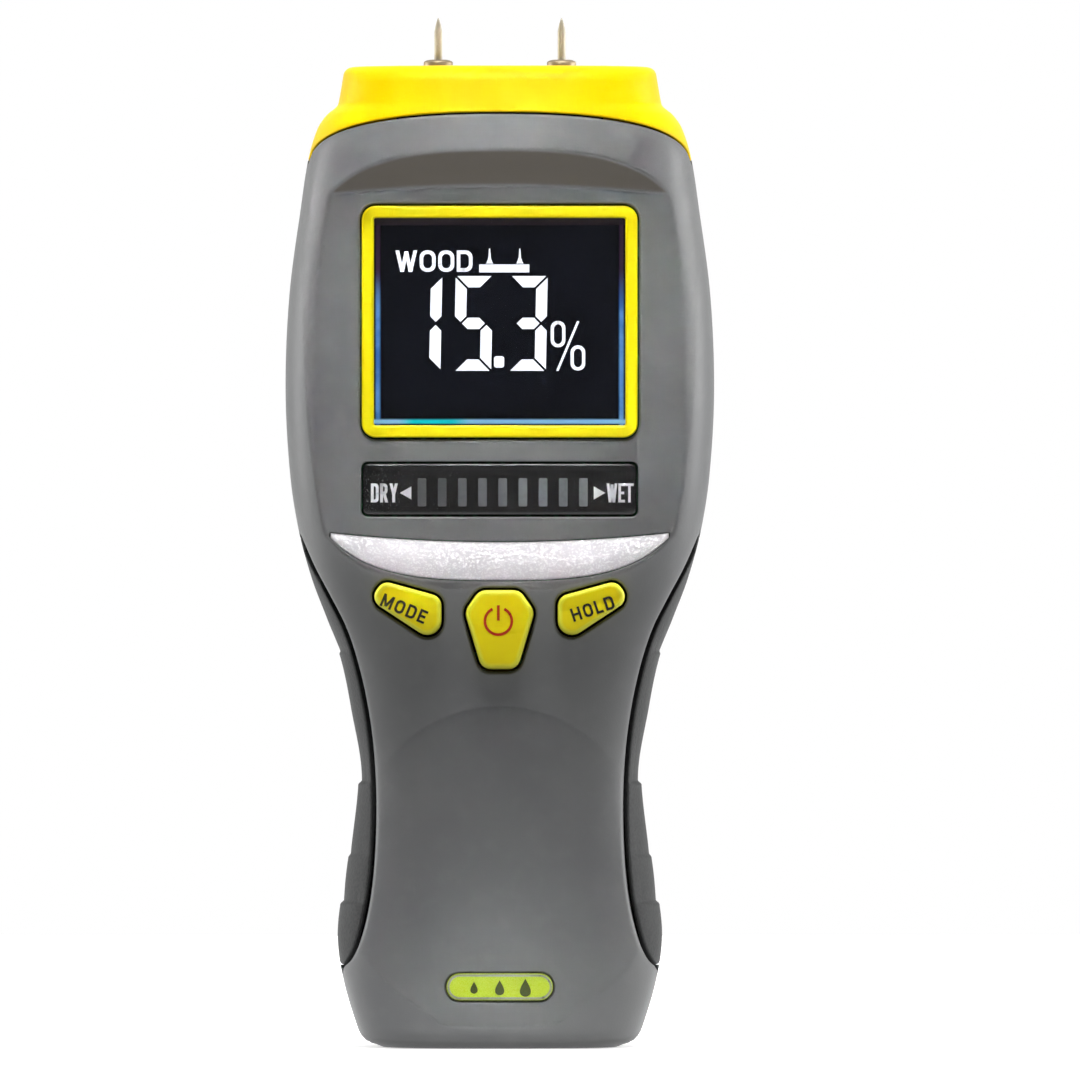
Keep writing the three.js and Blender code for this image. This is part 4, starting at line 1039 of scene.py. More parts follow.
def headCap():
    s = headSet
    angle = np.linspace(0, 2 * np.pi, s["around"], endpoint=False)
    start = np.full(len(angle), seam["top"])
    for _ in range(30):
        start = 0.5 * start + 0.5 * (seamHeight(skin(angle, start)[:, 0]) + s["clear"])
    steps = roundSteps(s["edge"])
    rows = [skin(angle, start + d, drop) for d, drop in steps]
    low = start + s["edge"]
    shoulder = bodyTop - shape["topRoundFront"]
    rows += [skin(angle, low + (shoulder - low) * t) for t in np.linspace(0, 1, s["rows"])[1:]]
    rows += [skin(angle, shoulder + shape["topRoundFront"] * np.sin(turn) + 0 * angle)
             for turn in np.linspace(0, np.pi / 2, 14)[1:]]
    rim = rows[-1]
    rows += [rim * [t, t, 1] for t in np.linspace(1, 0, 14)[1:]]
    under = [skin(angle, start, s["wall"])]
    under += [skin(angle, start + (shoulder - start) * t, s["wall"]) for t in np.linspace(0, 1, 30)[1:]]
    lid = under[-1]
    under += [lid * [t, t, 1] for t in np.linspace(1, 0, 6)[1:]]
    every = np.stack(under[::-1] + rows)
    makePiece("headCap", every.reshape(-1, 3), [gridFaces(len(every), len(angle), aroundCols=True)],
              mats["headPlastic"], replaces=["head_cap"])


headCap()
print("head made")


# Grips: a strip of skin from the front edge round the flank to the back edge at each height; depth falls away
# in a quarter round near every edge, and shallow finger steps run across it.
gripSet = {"rows": 320, "cols": 90, "clearance": 0.3, "edge": 0.7, "thick": 2.0,
           "steps": [(64.6, 0.35, 5.0), (43.2, 0.6, 9.0), (31.2, 0.35, 5.0), (23.5, 0.55, 6.0)]}


def gripPiece(side, name, node):
    s = gripSet
    z = np.linspace(gripLow + s["clearance"], gripHigh - s["clearance"], s["rows"])[:, None]
    edge = np.minimum(gripEdge(z) + s["clearance"], halfCurve(z) - 0.04)
    first = angleAt(side * edge, z)
    last = angleAt(side * edge, z, True)
    t = np.linspace(0, 1, s["cols"])[None]
    t = 0.5 - 0.5 * np.cos(np.pi * (0.15 + 0.7 * t))
    t = (t - t.min()) / (t.max() - t.min())
    angle = first + (last - first) * t
    z = z + 0 * angle
    raw = skin(angle, z)
    strides = np.linalg.norm(np.diff(raw, axis=1), axis=2)
    run = np.concatenate([np.zeros((s["rows"], 1)), np.cumsum(strides, 1)], 1)
    near = np.minimum(run, run[:, -1:] - run)
    near = np.minimum(near, np.minimum(z - z[0, 0], z[-1, 0] - z))
    drop = roundedIn(near, s["edge"])
    ease = np.clip(near / 2.5, 0, 1)
    for height, depth, fade in s["steps"]:
        # a ledge: proud just below it, sunk just above it, the sunk part fading out upwards
        over = z - height - 0.25 * np.cos(angle) * np.abs(np.cos(angle))
        drop = drop + depth * np.clip(over / 0.45, 0, 1) * np.exp(-np.maximum(over, 0) / fade) * ease
    points, faces = closedPatch(skin(angle, z, drop), skin(angle, z, s["thick"] + 0 * drop))
    makePiece(name, points, faces, mats["gripRubber"], replaces=[node])


# The shells' floor under each grip: the skin drawn in by the grip's thickness, from a little beyond its front
# edge round to a little beyond its back edge; black, as painted shade in the groove beside the grip.
pocketSet = {"beyond": 1.2, "inwards": 1.1, "floor": 2.15, "under": 3.0}


def gripPocket(side, name):
    s = pocketSet
    z = np.linspace(gripLow - s["beyond"], gripHigh + s["beyond"], 110)[:, None]
    edge = np.minimum(gripEdge(z) - s["inwards"], halfCurve(z) - 1.5)
    first, last = angleAt(side * edge, z), angleAt(side * edge, z, True)
    angle = first + (last - first) * np.linspace(0, 1, 50)[None]
    z = z + 0 * angle
    points, faces = closedPatch(skin(angle, z, s["floor"]), skin(angle, z, s["under"]))
    makePiece(name, points, faces, mats["blackPlastic"])


gripPocket(-1, "leftShadePocket")
gripPocket(1, "rightShadePocket")
gripPiece(-1, "leftGrip", "left_grip")
gripPiece(1, "rightGrip", "right_grip")
print("grips made")


# Silver trim: a grid between the crease and the ridge on the facet, a little crowned along its middle.
trimSet = {"crown": 0.3, "edge": 0.25, "thick": 1.0, "short": 0.25}


def silverTrim():
    s = trimSet
    tip = flatHalf - s["short"]
    x = -tip * np.cos(np.linspace(0, np.pi, 220))
    upper, lower = creaseLow(x) - 0.12, np.minimum(ridgeLow(x) + 0.12, creaseLow(x) - 0.2)
    t = np.concatenate([[0, 0.012, 0.04], np.linspace(0.08, 0.92, 22), [0.96, 0.988, 1]])[:, None]
    z = upper + (lower - upper) * t
    span = (upper - lower)[None]
    near = np.minimum(np.minimum(t, 1 - t) * span, (tip - np.abs(x))[None] * 0.6)
    deep = facetDepth(creaseLow(x) - z, "trimFacet")
    deep = deep + s["crown"] * np.sin(np.pi * t) * np.clip(span / 6, 0, 1) - roundedIn(near, s["edge"])
    points, faces = closedPatch(sheet(x, -deep, z), sheet(x, -(deep - s["thick"]), z))
    makePiece("silverTrim", points, faces, mats["silverPaint"], replaces=["silver_trim"])


silverTrim()


# Display bezel: a small section carried round a rounded rectangle; each section point is an outline of its own,
# stepped in from the outer edge.
def displayBezel():
    s = display
    f = s["front"]
    section = [(0.0, 14.3), (0.0, f - 0.4), (0.04, f - 0.22), (0.12, f - 0.09), (0.24, f - 0.02), (0.38, f),
               (0.45, f), (1.5, f), (1.57, f), (1.72, f - 0.03), (1.86, f - 0.12), (1.96, f - 0.3), (2.0, f - 0.6),
               (2.0, f - 1.1), (1.2, f - 1.15), (1.15, 14.3)]
    rows = []
    for inwards, deep in section:
        w, h = s["width"] - 2 * inwards, s["height"] - 2 * inwards
        r = max(s["radius"] - inwards, 0.25)
        w, h = w / 2 - r, h / 2 - r
        quarter = np.linspace(0, np.pi / 2, 10)
        turns = np.stack([quarter + i * np.pi / 2 for i in range(4)])
        x = np.array([[w], [-w], [-w], [w]]) + r * np.cos(turns)
        z = np.array([[h], [h], [-h], [-h]]) + r * np.sin(turns)
        rows.append(sheet(x.ravel(), -deep, z.ravel() + s["centre"]))
    points = np.stack(rows)
    makePiece("displayBezel", points.reshape(-1, 3), [gridFaces(len(rows), points.shape[1], True, True)],
              mats["bezelPlastic"], replaces=["display_bezel"])


displayBezel()
windowHalf = (display["width"] / 2 - display["band"], display["height"] / 2 - display["band"])
mats["screen"] = screenMaterial("screenGlass", {"halfWidth": windowHalf[0], "halfHeight": windowHalf[1],
                                                "centre": display["centre"], "violet": 11.0})


def level(deep):
    # the same depth everywhere, as a function of place
    return lambda x, z: deep + 0 * x


# A flat pane, larger than the window by its hidden margin.
def displayPane(name, node, front, back, material):
    w, h = (2 * half + display["hidden"] for half in windowHalf)
    outline = roundedRect(w, h, 1.0, 0, display["centre"], 0.8)
    points, faces = capSolid(outline, level(front), level(back), 0.12, 10)
    makePiece(name, points, faces, material, replaces=[node])


displayPane("displayLens", "display_lens", 15.9, 14.9, mats["lens"])
displayPane("displayGlass", "display_glass", 14.6, 12.6, mats["screen"])
print("display made")


# flat marks: shapes drawn in two axes, given a thickness and laid on a surface

def flatMark(name, loops, depthAt, material, thick=0.05, body=housing, side=-1):
    # each loop is one bar or character part: a front copy, a back copy and a band between
    points, faces = [], []
    count = 0
    for loop in loops:
        loop = np.asarray(loop, float)
        n = len(loop)
        deep = depthAt(loop[:, 0], loop[:, 1])
        points += [sheet(loop[:, 0], side * y, loop[:, 1]) for y in (deep + thick, deep - 0.02)]
        i = np.arange(n)
        j = (i + 1) % n
        faces += [i[None] + count, i[None, ::-1] + n + count, np.stack([j, i, i + n, j + n], -1) + count]
        count += 2 * n
    return makePiece(name, np.concatenate(points), faces, material, body=body)


# Letters drawn as bars: each bar leans between two points and is cut level at its ends; rounds are strips
# between an outline and the same outline drawn in by the stroke. Places are shares of the letter's box.
letterBars = {
    "W": [(0, 1, 0.27, 0), (0.27, 0, 0.5, 0.95), (0.5, 0.95, 0.73, 0), (0.73, 0, 1, 1)],
    "M": [(0, 0, 0, 1), (0, 1, 0.5, 0.12), (0.5, 0.12, 1, 1), (1, 0, 1, 1)],
    "D": [], "O": [], "E": [(0, 0, 0, 1)], "H": [(0, 0, 0, 1), (1, 0, 1, 1)], "L": [(0, 0, 0, 1)],
    "R": [(0, 0, 0, 1), (0.5, 0.48, 1, 0)], "Y": [(0, 1, 0.5, 0.42), (0.5, 0.42, 1, 1), (0.5, 0, 0.5, 0.5)],
    "T": [(0.5, 0, 0.5, 1)],
}
letterShelves = {"E": [(0, 1, 1), (0, 0.9, 0.5), (0, 1, 0)], "H": [(0, 1, 0.5)], "L": [(0, 1, 0)],
                 "T": [(-0.1, 1.1, 1)]}
letterWidths = {"W": 1.35, "M": 1.2, "O": 1.0, "D": 0.98, "E": 0.82, "H": 1.0, "L": 0.78, "R": 1.0, "Y": 1.05,
                "T": 0.9}


def ringStrips(outer, inner):
    # quads between two loops of equal count
    return list(np.stack([outer, np.roll(outer, -1, 0), np.roll(inner, -1, 0), inner], 1))


def roundStrips(width, height, stroke, x, z, radius, openLeft=False):
    # a letter's bowl: a rounded outline and its inner copy; with openLeft the left corners stay square
    outer = respaced(roundedRect(width, height, radius, x, z, 0.12), count=64)
    shrink = np.array([(width - 2 * stroke) / width, (height - 2 * stroke) / height])
    if openLeft:
        left = x - width / 2
        outer[:, 0] = np.where((outer[:, 0] < left + radius) & (np.abs(outer[:, 1] - z) > height / 2 - radius * 1.01),
                               np.maximum(left, outer[:, 0] - radius * 0.8), outer[:, 0])
    inner = (outer - [x, z]) * shrink + [x, z]
    return ringStrips(outer, inner)


# A letter's slanted bars, level shelves and bowls in its own box, all one stroke wide.
def letterParts(letter, width, height, stroke):
    half = stroke / 2
    w, h = width - stroke, height
    parts = []
    for x0, z0, x1, z1 in letterBars[letter]:
        x0, x1, z0, z1 = half + x0 * w, half + x1 * w, z0 * h, z1 * h
        flat = half * math.hypot(x1 - x0, z1 - z0) / abs(z1 - z0)
        parts.append(np.array([(x0 - flat, z0), (x0 + flat, z0), (x1 + flat, z1), (x1 - flat, z1)]))
    for x0, x1, shelf in letterShelves.get(letter, []):
        x0, x1, mid = x0 * width, x1 * width, half + shelf * (h - stroke)
        parts.append(np.array([(x0, mid - half), (x1, mid - half), (x1, mid + half), (x0, mid + half)]))
    if letter in "OD":
        parts += roundStrips(width, height, stroke, width / 2, height / 2, width * 0.44, letter == "D")
    if letter == "R":
        parts += roundStrips(width * 0.94, height * 0.58, stroke, width * 0.47, height * 0.71, height * 0.2, True)
    return parts


# A word of letters filling an exact width and height, turned in its own plane and laid on a surface.
def wordMark(name, word, width, height, stroke, x, z, depthAt, material, turn=0.0, body=housing, space=0.2):
    shares = [letterWidths[letter] for letter in word]
    unit = width / (sum(shares) + space * (len(word) - 1))
    at, loops = 0.0, []
    for letter, share in zip(word, shares):
        loops += [part + [at - width / 2, -height / 2] for part in letterParts(letter, share * unit, height, stroke)]
        at += (share + space) * unit
    a = math.radians(turn)
    spin = np.array([(math.cos(a), math.sin(a)), (-math.sin(a), math.cos(a))])
    return flatMark(name, [loop @ spin + [x, z] for loop in loops], depthAt, material, body=body)


reading = {
    "base": 111.0, "height": 15.5, "width": 6.1, "stroke": 1.85, "gap": 0.26, "slant": 0.02, "depth": 14.62,
    "figures": {"1": -15.8, "5": -7.5, "3": 1.45}, "point": (1.65, 1.85, -0.1, 1.45),
    "percentBowls": [(2.4, 4.3, 9.55, 6.0), (2.4, 4.1, 12.8, 2.1)], "percentBar": (9.45, 12.85, 8.1, 0.2),
    "word": (12.6, 3.5, -10.75, 128.95), "icon": (-3.35, 4.85, 127.1, 128.4), "probes": (-1.65, 3.3),
}


# Seven-bar figures: every bar ends in slanting cuts that leave a fine gap at the corners; mirrored for its
# opposite number, and the whole leans over a little.
def figureBars(mark, x0, s):
    w, h, k, e = s["width"], s["height"], s["stroke"], s["gap"]
    mid = h / 2
    roof = np.array([(e, h), (w - e, h), (w - e - k, h - k), (e + k, h - k)])
    flank = np.array([(0, h - e), (k, h - k - e), (k, mid + k / 2 + e), (k / 2, mid + e), (0, mid + k / 2 + e)])
    belt = np.array([(k / 2 + e, mid), (k + e, mid + k / 2), (w - k - e, mid + k / 2), (w - k / 2 - e, mid),
                     (w - k - e, mid - k / 2), (k + e, mid - k / 2)])
    across, over = np.array([-1, 1]), np.array([1, -1])
    strokes = {"a": roof, "d": roof * over + [0, h], "f": flank, "b": flank * across + [w, 0],
               "e": flank * over + [0, h], "c": flank * across * over + [w, h], "g": belt}
    loops = [strokes[key] for key in {"1": "bc", "5": "acdfg", "3": "abcdg"}[mark]]
    return [np.stack([loop[:, 0] + x0 + loop[:, 1] * s["slant"], loop[:, 1] + s["base"]], -1) for loop in loops]


# The reading: three figures with a point, a percent sign, a word and an icon of two probes over a plate.
def displayReading():
    s = reading
    lit, deep, foot = mats["lit"], level(s["depth"]), s["base"]
    loops = [loop for mark, x in s["figures"].items() for loop in figureBars(mark, x, s)]
    w, h, x, z = s["point"]
    flatMark("readingFigures", loops + [roundedRect(w, h, 0.35, x, foot + z, 0.2)], deep, lit)
    loops = [loop for w, h, x, z in s["percentBowls"] for loop in roundStrips(w, h, 0.52, x, foot + z, 1.15)]
    low, high, rise, half = s["percentBar"]
    roof = foot + rise
    loops.append(np.array([(low - half, foot), (low + half, foot), (high + half, roof), (high - half, roof)]))
    flatMark("readingPercent", loops, deep, lit)
    w, h, x, z = s["word"]
    wordMark("modeWord", "WOOD", w, h, 0.58, x, z, deep, lit, space=0.16)
    left, right, low, high = s["icon"]
    icon = [np.array([(left, low), (right, low), (right, high), (left, high)])]
    for x in s["probes"]:
        # a probe: broad at its foot, drawn in to a needle
        half = np.array([0.62, 0.45, 0.2, 0.09])
        rise = np.array([0.15, 0.35, 1.1, 2.6]) + high
        icon.append(np.concatenate([np.stack([x + half, rise], -1), np.stack([x - half, rise], -1)[::-1]]))
    flatMark("pinIcon", icon, deep, lit)


displayReading()


# bar graph window: a black panel with nine pale bars and two arrowed words

graphSet = {"crown": 0.12, "mark": (1.4, 4.6), "markShift": (0.5, -0.5), "wordHeight": 3.1,
            "words": {"dry": ("DRY", 4.4, 0.46, -18.85, 0.2), "wet": ("WET", 4.3, 0.42, 19.65, 0.14)}}


# Everything lies on one crowned face: the front depth plus the crown times 1 - (x / half width)^2.
def barGraph():
    s = graphSet

    def face(x, z):
        return bars["front"] + s["crown"] * (1 - (x / 22.4) ** 2)

    outline = roundedRect(bars["width"] - 0.6, bars["height"] - 0.6, 0.8, 0, bars["centre"], 0.6)
    points, faces = capSolid(outline, lambda x, z: face(x, z) - 0.02, level(14.4), 0.3, 10)
    makePiece("barPanel", points, faces, mats["blackPlastic"], replaces=["bar_window"])
    for i in range(bars["count"]):
        x = (i - (bars["count"] - 1) / 2) * bars["pitch"] + s["markShift"][0]
        outline = roundedRect(*s["mark"], 0.15, x, bars["centre"] + s["markShift"][1], 0.2)
        points, faces = capSolid(outline, lambda x, z: face(x, z) + 0.05, level(bars["front"] - 0.4), 0.05, 3)
        makePiece(f"barMark{i + 1}", points, faces, mats["barGrey"])
    row, ink = bars["centre"] - 0.6, mats["whiteInk"]
    for name, (word, width, stroke, x, space) in s["words"].items():
        wordMark(f"{name}Word", word, width, s["wordHeight"], stroke, x, row, face, ink, space=space)
    arrow = np.array([(-16.3, 0.0), (-14.45, -1.05), (-14.45, 1.05)])
    flatMark("dryArrow", [arrow + [0, row]], face, ink)
    flatMark("wetArrow", [arrow * [-1, 1] + [0.95, row]], face, ink)


# the bars grow paler to the right
def barMaterial(name):
    net = newNet(name)
    x, y, z = net.axes()
    along = (x * 1000).step(-14.0, 14.0)
    haze = net.noise(900.0, 2.0)
    tint = net.blend(along, colour("3e3f41"), colour("707276"))
    tint = net.blend(haze.step(0.4, 0.8) * 0.3, tint, colour("333436"))
    return net.surface({"Base Color": tint, "Roughness": 0.3 + haze * 0.2, "Normal": net.bump(haze, 0.00001)})


mats["barGrey"] = barMaterial("barGrey")
barGraph()
print("bar graph made")

# keys

keySet = {"proud": 1.1, "crown": 0.22, "edge": 0.6, "depth": 3.1, "rings": 14, "wordHeight": 2.2, "stroke": 0.4,
          "signRadii": (2.42, 1.98), "signAt": (-0.2, 1.35)}
keyWords = {"mode": {"width": 7.8, "x": -15.6, "turn": -23.0}, "hold": {"width": 7.2, "x": 15.2, "turn": 18.5}}


# A key's outline and its face: half the fitted skin plus half its middle height, stood proud and crowned.
def keyFace(corners):
    outline = roundedPolygon(corners)
    centre = outline.mean(0)
    reach = np.abs(outline - centre).max(0)

    def terms(x, z):
        u, v = (x - centre[0]) / reach[0], (z - centre[1]) / reach[1]
        return np.stack([1 + 0 * u, u, v, u * u, u * v, v * v], -1)

    # the skin under the key as one smooth bowl: a least-squares quadratic, which has no crease
    u, v = np.meshgrid(np.linspace(-0.9, 0.9, 15), np.linspace(-0.9, 0.9, 15))
    u, v = u.ravel() * reach[0] + centre[0], v.ravel() * reach[1] + centre[1]
    skinFit = np.linalg.lstsq(terms(u, v), bareDepth(u, v), rcond=None)[0]

    def face(x, z):
        # half the skin's own slope, so that the lower edge stands prouder
        spread = ((x - centre[0]) / reach[0]) ** 2 + ((z - centre[1]) / reach[1]) ** 2
        return (terms(x, z) @ skinFit + skinFit[0]) / 2 + keySet["proud"] + keySet["crown"] * (1 - spread)
    return outline, face


# Three solids over the keys' outlines, with the rounded edge marked for a painted highlight, and a word or a sign on
# each.
def keyPieces():
    s = keySet
    for name, corners in keyCorners.items():
        outline, face = keyFace(corners)
        points, faces = capSolid(outline, face, lambda x, z: bareDepth(x, z) - s["depth"], s["edge"], s["rings"])
        # the rounded edge and the sides are marked for the paler yellow: a painted highlight where the edge catches
        # light
        rim = np.repeat([1.0] * 7 + [0.7] + [0.0] * s["rings"], len(outline))
        makePiece(f"{name}Key", points, faces, mats["keyPlastic"], body=f"{name}_button",
                  replaces=[f"{name}_key"], masks={"keyRimHighlight": rim})
        if name == "power":
            powerSign(np.array(s["signAt"]) + [0, keyLevel], face)
        else:
            w = keyWords[name]
            wordMark(f"{name}Word", name.upper(), w["width"], s["wordHeight"], s["stroke"], w["x"], keyLevel + 3.4,
                     face, mats["blackInk"], turn=w["turn"], body=f"{name}_button", space=0.3)


# Power sign: an open ring and an upright stroke, each a thin strip along its middle line.
def powerSign(centre, face):
    angle = np.radians(np.linspace(116, 424, 60))
    ring = np.stack([np.cos(angle), np.sin(angle)], -1)
    outer, inner = (centre + radius * ring for radius in keySet["signRadii"])
    strips = list(np.stack([outer[:-1], outer[1:], inner[1:], inner[:-1]], 1))
    strips.append(centre + np.array([(-0.22, 0.1), (0.22, 0.1), (0.22, 2.6), (-0.22, 2.6)]))
    flatMark("powerSign", strips, face, mats["redInk"], body="power_button")


keyPieces()
print("keys made")


# Badge: a stadium set in the foot, with three drops of rising size printed on it.
def badgePieces():
    s = badgeSet
    outline = roundedRect(s["width"], s["height"], s["height"] / 2 - 0.01, 0, s["level"], 0.3)

    def face(x, z):
        return bareDepth(x, z) + 0.1

    points, faces = capSolid(outline, face, lambda x, z: bareDepth(x, z) - 0.6, 0.2, 12)
    makePiece("badgePanel", points, faces, mats["badgeInk"], replaces=["badge"])
    rim = offsetLine(outline, -0.14)
    field = offsetLine(outline, -0.52)
    flatMark("badgeRim", ringStrips(rim, field), face, mats["rimInk"], thick=0.04)
    t = np.linspace(0, 2 * np.pi, 40, endpoint=False)
    drop = np.stack([np.sin(t) * np.sin(t / 2) ** 1.5, np.cos(t)], -1)
    for i, (x, size) in enumerate([(-4.2, 1.0), (0.0, 1.25), (4.2, 1.5)]):
        flatMark(f"badgeDrop{i + 1}", [drop * size * [0.85, 1] + [x, s["level"] - 0.1]], face, mats["darkInk"])


badgePieces()


# Back plate: a blank rating label with a ruled frame and a few plain rules.
def ratingPlate():
    s = plate
    outline = roundedRect(s["width"], s["height"], s["radius"], 0, s["level"], 0.6)

    def face(x, z):
        return backSkin(x, z) + 0.02

    points, faces = capSolid(outline, face, lambda x, z: backSkin(x, z) - 0.7, 0.12, 16, side=1)
    makePiece("ratingPlate", points, faces, mats["plateInk"], replaces=["rating_plate"])
    outer = roundedRect(s["width"] - 2, s["height"] - 2, 1.2, 0, s["level"], 1.0)
    strips = ringStrips(outer, offsetLine(outer, -0.3))
    for row, end in ((-5, 13), (-2, 13), (1, 13), (4, 2)):
        low = s["level"] + row
        high = low + 0.25
        xs = np.linspace(-13, end, 20)
        strips += [np.array([(a, low), (b, low), (b, high), (a, high)]) for a, b in zip(xs[:-1], xs[1:])]
    flatMark("plateRules", strips, face, mats["greyInk"], side=1, thick=0.03)


ratingPlate()
print("badge and plate made")


# Battery door: a grid over a rounded rectangle on the back skin; columns shorten at the corners, the edge is a
# quarter round, ribs for the thumb run across its head and an arrow is sunk under them.
def batteryDoor():
    s = door
    x = np.sin(np.linspace(-np.pi / 2, np.pi / 2, 150)) * s["width"] / 2
    x = 0.55 * x + 0.45 * np.linspace(-1, 1, 150) * s["width"] / 2
    r = s["radius"]
    across, up = s["width"] / 2 - r, s["height"] / 2 - r
    corner = r - np.sqrt(np.clip(r ** 2 - np.clip(np.abs(x) - across, 0, None) ** 2, 0, None))
    low, high = s["level"] - s["height"] / 2 + corner, s["level"] + s["height"] / 2 - corner
    z = low + (high - low) * np.linspace(0, 1, 260)[:, None]
    x = x + 0 * z
    qx, qz = np.abs(x) - across, np.abs(z - s["level"]) - up
    out = np.hypot(np.clip(qx, 0, None), np.clip(qz, 0, None)) + np.minimum(np.maximum(qx, qz), 0) - r
    drop = roundedIn(np.maximum(-out, 0), s["edge"])
    ribs = np.clip(np.cos((z - s["ribLevel"]) * 2 * np.pi / s["ribPitch"]), 0, 1) ** 0.7
    ribs = ribs * np.clip((6.5 - np.abs(x)) / 0.8, 0, 1) * (np.abs(z - s["ribLevel"]) < 4.95)
    arrow = (np.abs(x) < np.clip(z - s["arrowTip"], 0, 3.6)) & (z < s["arrowTop"])
    deep = backSkin(x, z) - drop + ribs * s["ribHeight"] * (drop < 0.01) - arrow * s["arrowDepth"]
    inner = np.minimum(backSkin(x, z) - s["thickness"], deep - 0.4)
    points, faces = closedPatch(sheet(x, deep, z), sheet(x, inner, z))
    makePiece("batteryDoor", points, faces, mats["doorPlastic"], body="door",
              replaces=["battery_door"])
    for i, cx in enumerate(s["feet"]):
        # feet that hook behind the shell's lip, thinner at their noses
        z = np.linspace(10.3, 14.0, 12)[:, None]
        x = np.linspace(cx - 3, cx + 3, 14)[None]
        nose = 0.35 * np.clip((11.2 - z) / 0.9, 0, 1) ** 2
        near = 12.35 - nose + np.clip((z - 12.4) * 2, 0, 1.3)
        points, faces = closedPatch(sheet(x, near, z), sheet(x, 11.45 + nose, z))
        makePiece(f"doorFoot{i + 1}", points, faces, mats["doorPlastic"], body="door")
    # the catch at its head, with a sloping lower edge
    z = np.linspace(62.2, 65.6, 14)[:, None]
    x = np.linspace(-5, 5, 20)[None]
    under = 12.1 + 0.5 * np.clip((62.9 - z) / 0.7, 0, 1)
    points, faces = closedPatch(sheet(x, 13.7, z), sheet(x, under, z))
    makePiece("doorCatch", points, faces, mats["doorPlastic"], body="door")


batteryDoor()
print("door made")


# Pins and their collars: profiles of (radius, height) turned about each pin's axis.
pinSet = {"spacing": 20.3, "radius": 0.64, "tip": bodyTop + 8.3, "foot": bodyTop - 9, "taper": 2.4,
          "collar": 2.4, "collarBase": bodyTop + 0.05, "collarTop": bodyTop + 1.35}


def probePins():
    s = pinSet
    for side, name in ((-1, "left"), (1, "right")):
        x = side * s["spacing"] / 2
        r, tip = s["radius"], s["tip"]
        foot, neck = s["foot"], tip - s["taper"]
        profile = [(0, foot), (r * 0.9, foot), (r, foot + 0.2), (r, bodyTop + 0.4), (r * 1.03, bodyTop + 1.2),
                   (r, bodyTop + 2.4), (r, neck), (r * 0.93, neck + 0.35), (r * 0.62, tip - 1.1),
                   (r * 0.3, tip - 0.4), (r * 0.12, tip - 0.1), (0, tip)]
        points, faces = turnedSolid(profile, x, 0, 40)
        makePiece(f"{name}Pin", points, faces, mats["pinSteel"], replaces=[f"{name}_pin"])
        c, low, high = s["collar"], s["collarBase"], s["collarTop"]
        profile = [(0.95, low), (c - 0.15, low), (c, low + 0.12), (c, high - 0.45), (c - 0.12, high - 0.28),
                   (c - 0.5, high - 0.1), (c - 0.95, high), (1.3, high), (1.15, high - 0.12), (0.95, high - 0.3),
                   (0.95, low)]
        points, faces = turnedSolid(profile, x, 0, 56)
        makePiece(f"{name}Collar", points, faces, mats["nickelPlate"], replaces=[f"{name}_collar"])


probePins()
print("pins made")

# finishes of the carried-over inner pieces
finishes = {
    "blackPlastic": ["bar_baffle", "mode_switch", "power_switch", "hold_switch", "pin_block", "battery_snap",
                     "buzzer"],
    "chipPlastic": ["controller_chip", "display_connector"],
    "whitePlastic": ["display_backlight", "mode_plunger", "power_plunger", "hold_plunger"],
    "ledPlastic": [f"bar_led_{i}" for i in range(1, 10)],
    "boardGreen": ["main_board"],
    "gasketRubber": ["keypad_gasket"],
    "screwSteel": ["board_screw_1", "board_screw_2", "case_screw_1", "case_screw_2", "case_screw_3", "case_screw_4"],
    "turnedBrass": ["left_socket", "right_socket"],
    "nickelPlate": ["battery_small_terminal", "battery_large_terminal"],
    "redJacket": ["left_pin_lead", "battery_lead_red"],
    "blackJacket": ["right_pin_lead", "battery_lead_black"],
    "foamBlack": ["door_foam"],
    "battery": ["battery"],
}
for name, nodes in finishes.items():
    for node in nodes:
        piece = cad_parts[node]
        piece.data.materials.clear()
        piece.data.materials.append(mats[name])
print("inner finishes set")


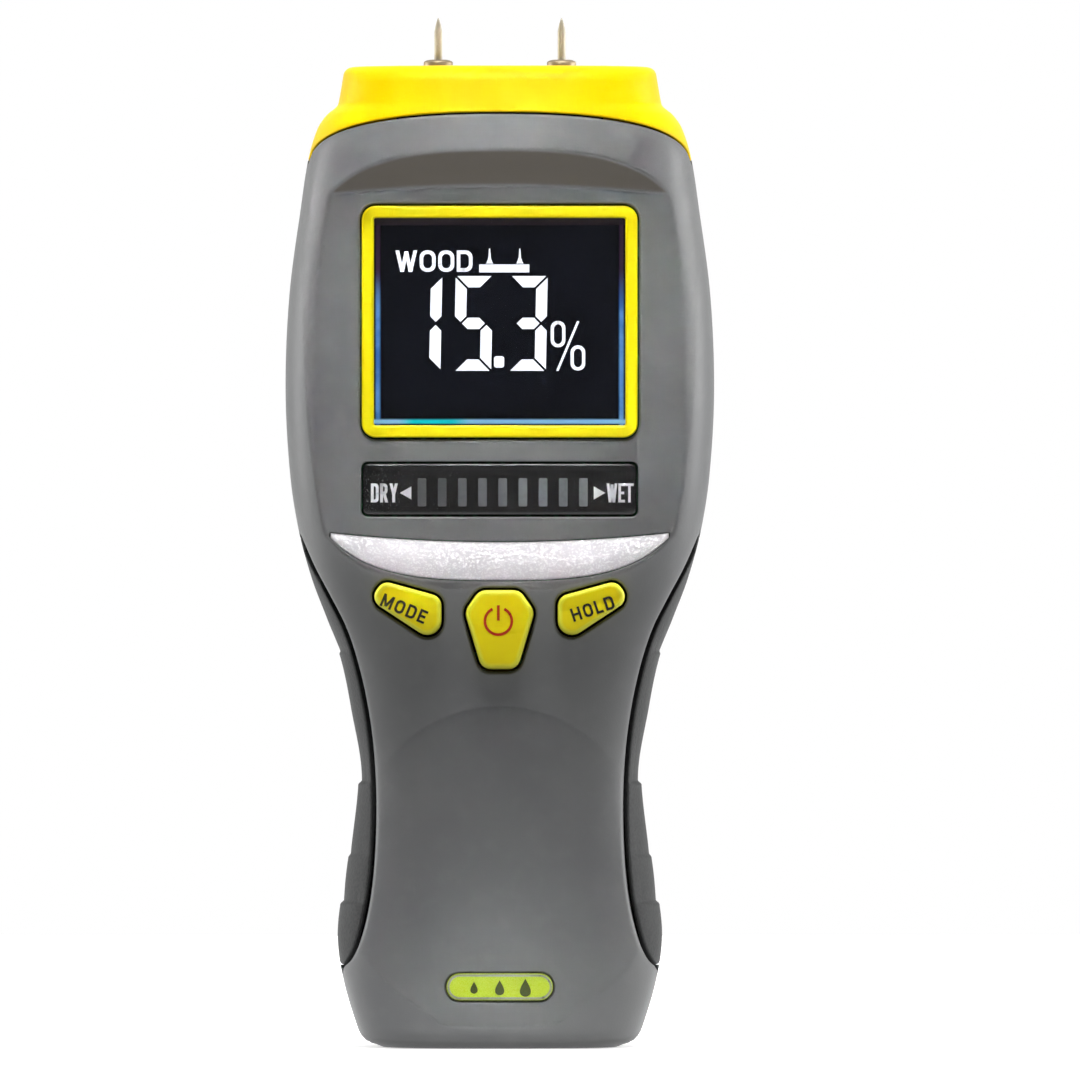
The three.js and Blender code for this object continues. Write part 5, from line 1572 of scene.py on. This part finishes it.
# studio; lamps: place, what they aim at, size, power, and the spread of a gridded lamp in degrees
studio = {"floor": 0.7, "floorGlow": 0.6, "seenWorld": 1.0, "sideWorld": 0.85, "frontWorld": 0.07, "lowWorld": 0.5,
          "lamps": {"crown": ((0.0, -0.5, 1.35), (0, 0, 0.09), 0.45, 18.5, 180),
                    "left": ((-1.0, 0.33, 0.25), (0, 0, 0.09), 0.6, 6.2, 180),
                    "right": ((1.0, 0.22, 0.25), (0, 0, 0.09), 0.6, 8.2, 180),
                    "face": ((0.0, -1.1, 0.65), (0, -0.015, 0.119), 0.06, 0.0195, 6.4),
                    "foot": ((0.0, -1.0, 0.12), (0, -0.015, -0.045), 0.05, 0.042, 9.0)}}


# A pale floor just under the meter, a room that is white where it is seen and dimmer in front and below where it
# lights, and disc lamps turned to what they aim at.
def makeStudio(s):
    mesh = bpy.data.meshes.new("studioFloor")
    r = s["floor"]
    mesh.from_pydata([(-r, -r, 0), (r, -r, 0), (r, r, 0), (-r, r, 0)], [], [(0, 1, 2, 3)])
    mesh.transform(Matrix.Translation((0, 0, -0.0001)))
    floor = bpy.data.objects.new("studioFloor", mesh)
    bpy.context.scene.collection.objects.link(floor)
    net = newNet("paleFloor")
    cloud = net.noise(3.0, 2.0)
    pale = net.blend(cloud * 0.3, (0.93, 0.93, 0.93, 1), (0.9, 0.9, 0.9, 1))
    mesh.materials.append(net.surface({"Base Color": pale, "Roughness": 0.6, "Specular IOR Level": 0.1,
                                       "Emission Color": pale, "Emission Strength": s["floorGlow"]}))
    # the floor catches shadows but doesn't throw light up at the meter, which would flatten it
    floor.visible_diffuse = False
    world = bpy.data.worlds.new("softRoom")
    bpy.context.scene.world = world
    net = Net(world)
    x, y, z = net.axes(net.add("ShaderNodeTexCoord", out=0))
    around = y.step(-0.6, 0.3, s["frontWorld"], s["sideWorld"]) * z.step(-0.6, 0.3, s["lowWorld"], 1.0)
    seen = net.add("ShaderNodeLightPath")
    power = seen * s["seenWorld"] + (1 - seen) * around
    light = net.add("ShaderNodeBackground", {}, {"Color": (1, 1, 1, 1), "Strength": power})
    net.add("ShaderNodeOutputWorld", {}, {"Surface": light})
    for name, (place, aim, size, power, spread) in s["lamps"].items():
        data = bpy.data.lights.new(name + "Lamp", "AREA")
        data.shape = "DISK"
        data.size = size
        data.energy = power
        data.spread = math.radians(spread)
        lamp = bpy.data.objects.new(name + "Lamp", data)
        lamp.location = place
        lamp.rotation_euler = (Vector(aim) - Vector(place)).to_track_quat("-Z", "Y").to_euler()
        lamp.visible_camera = False
        bpy.context.scene.collection.objects.link(lamp)
    bpy.context.scene.view_settings.view_transform = "Standard"


makeStudio(studio)
print("studio lit")
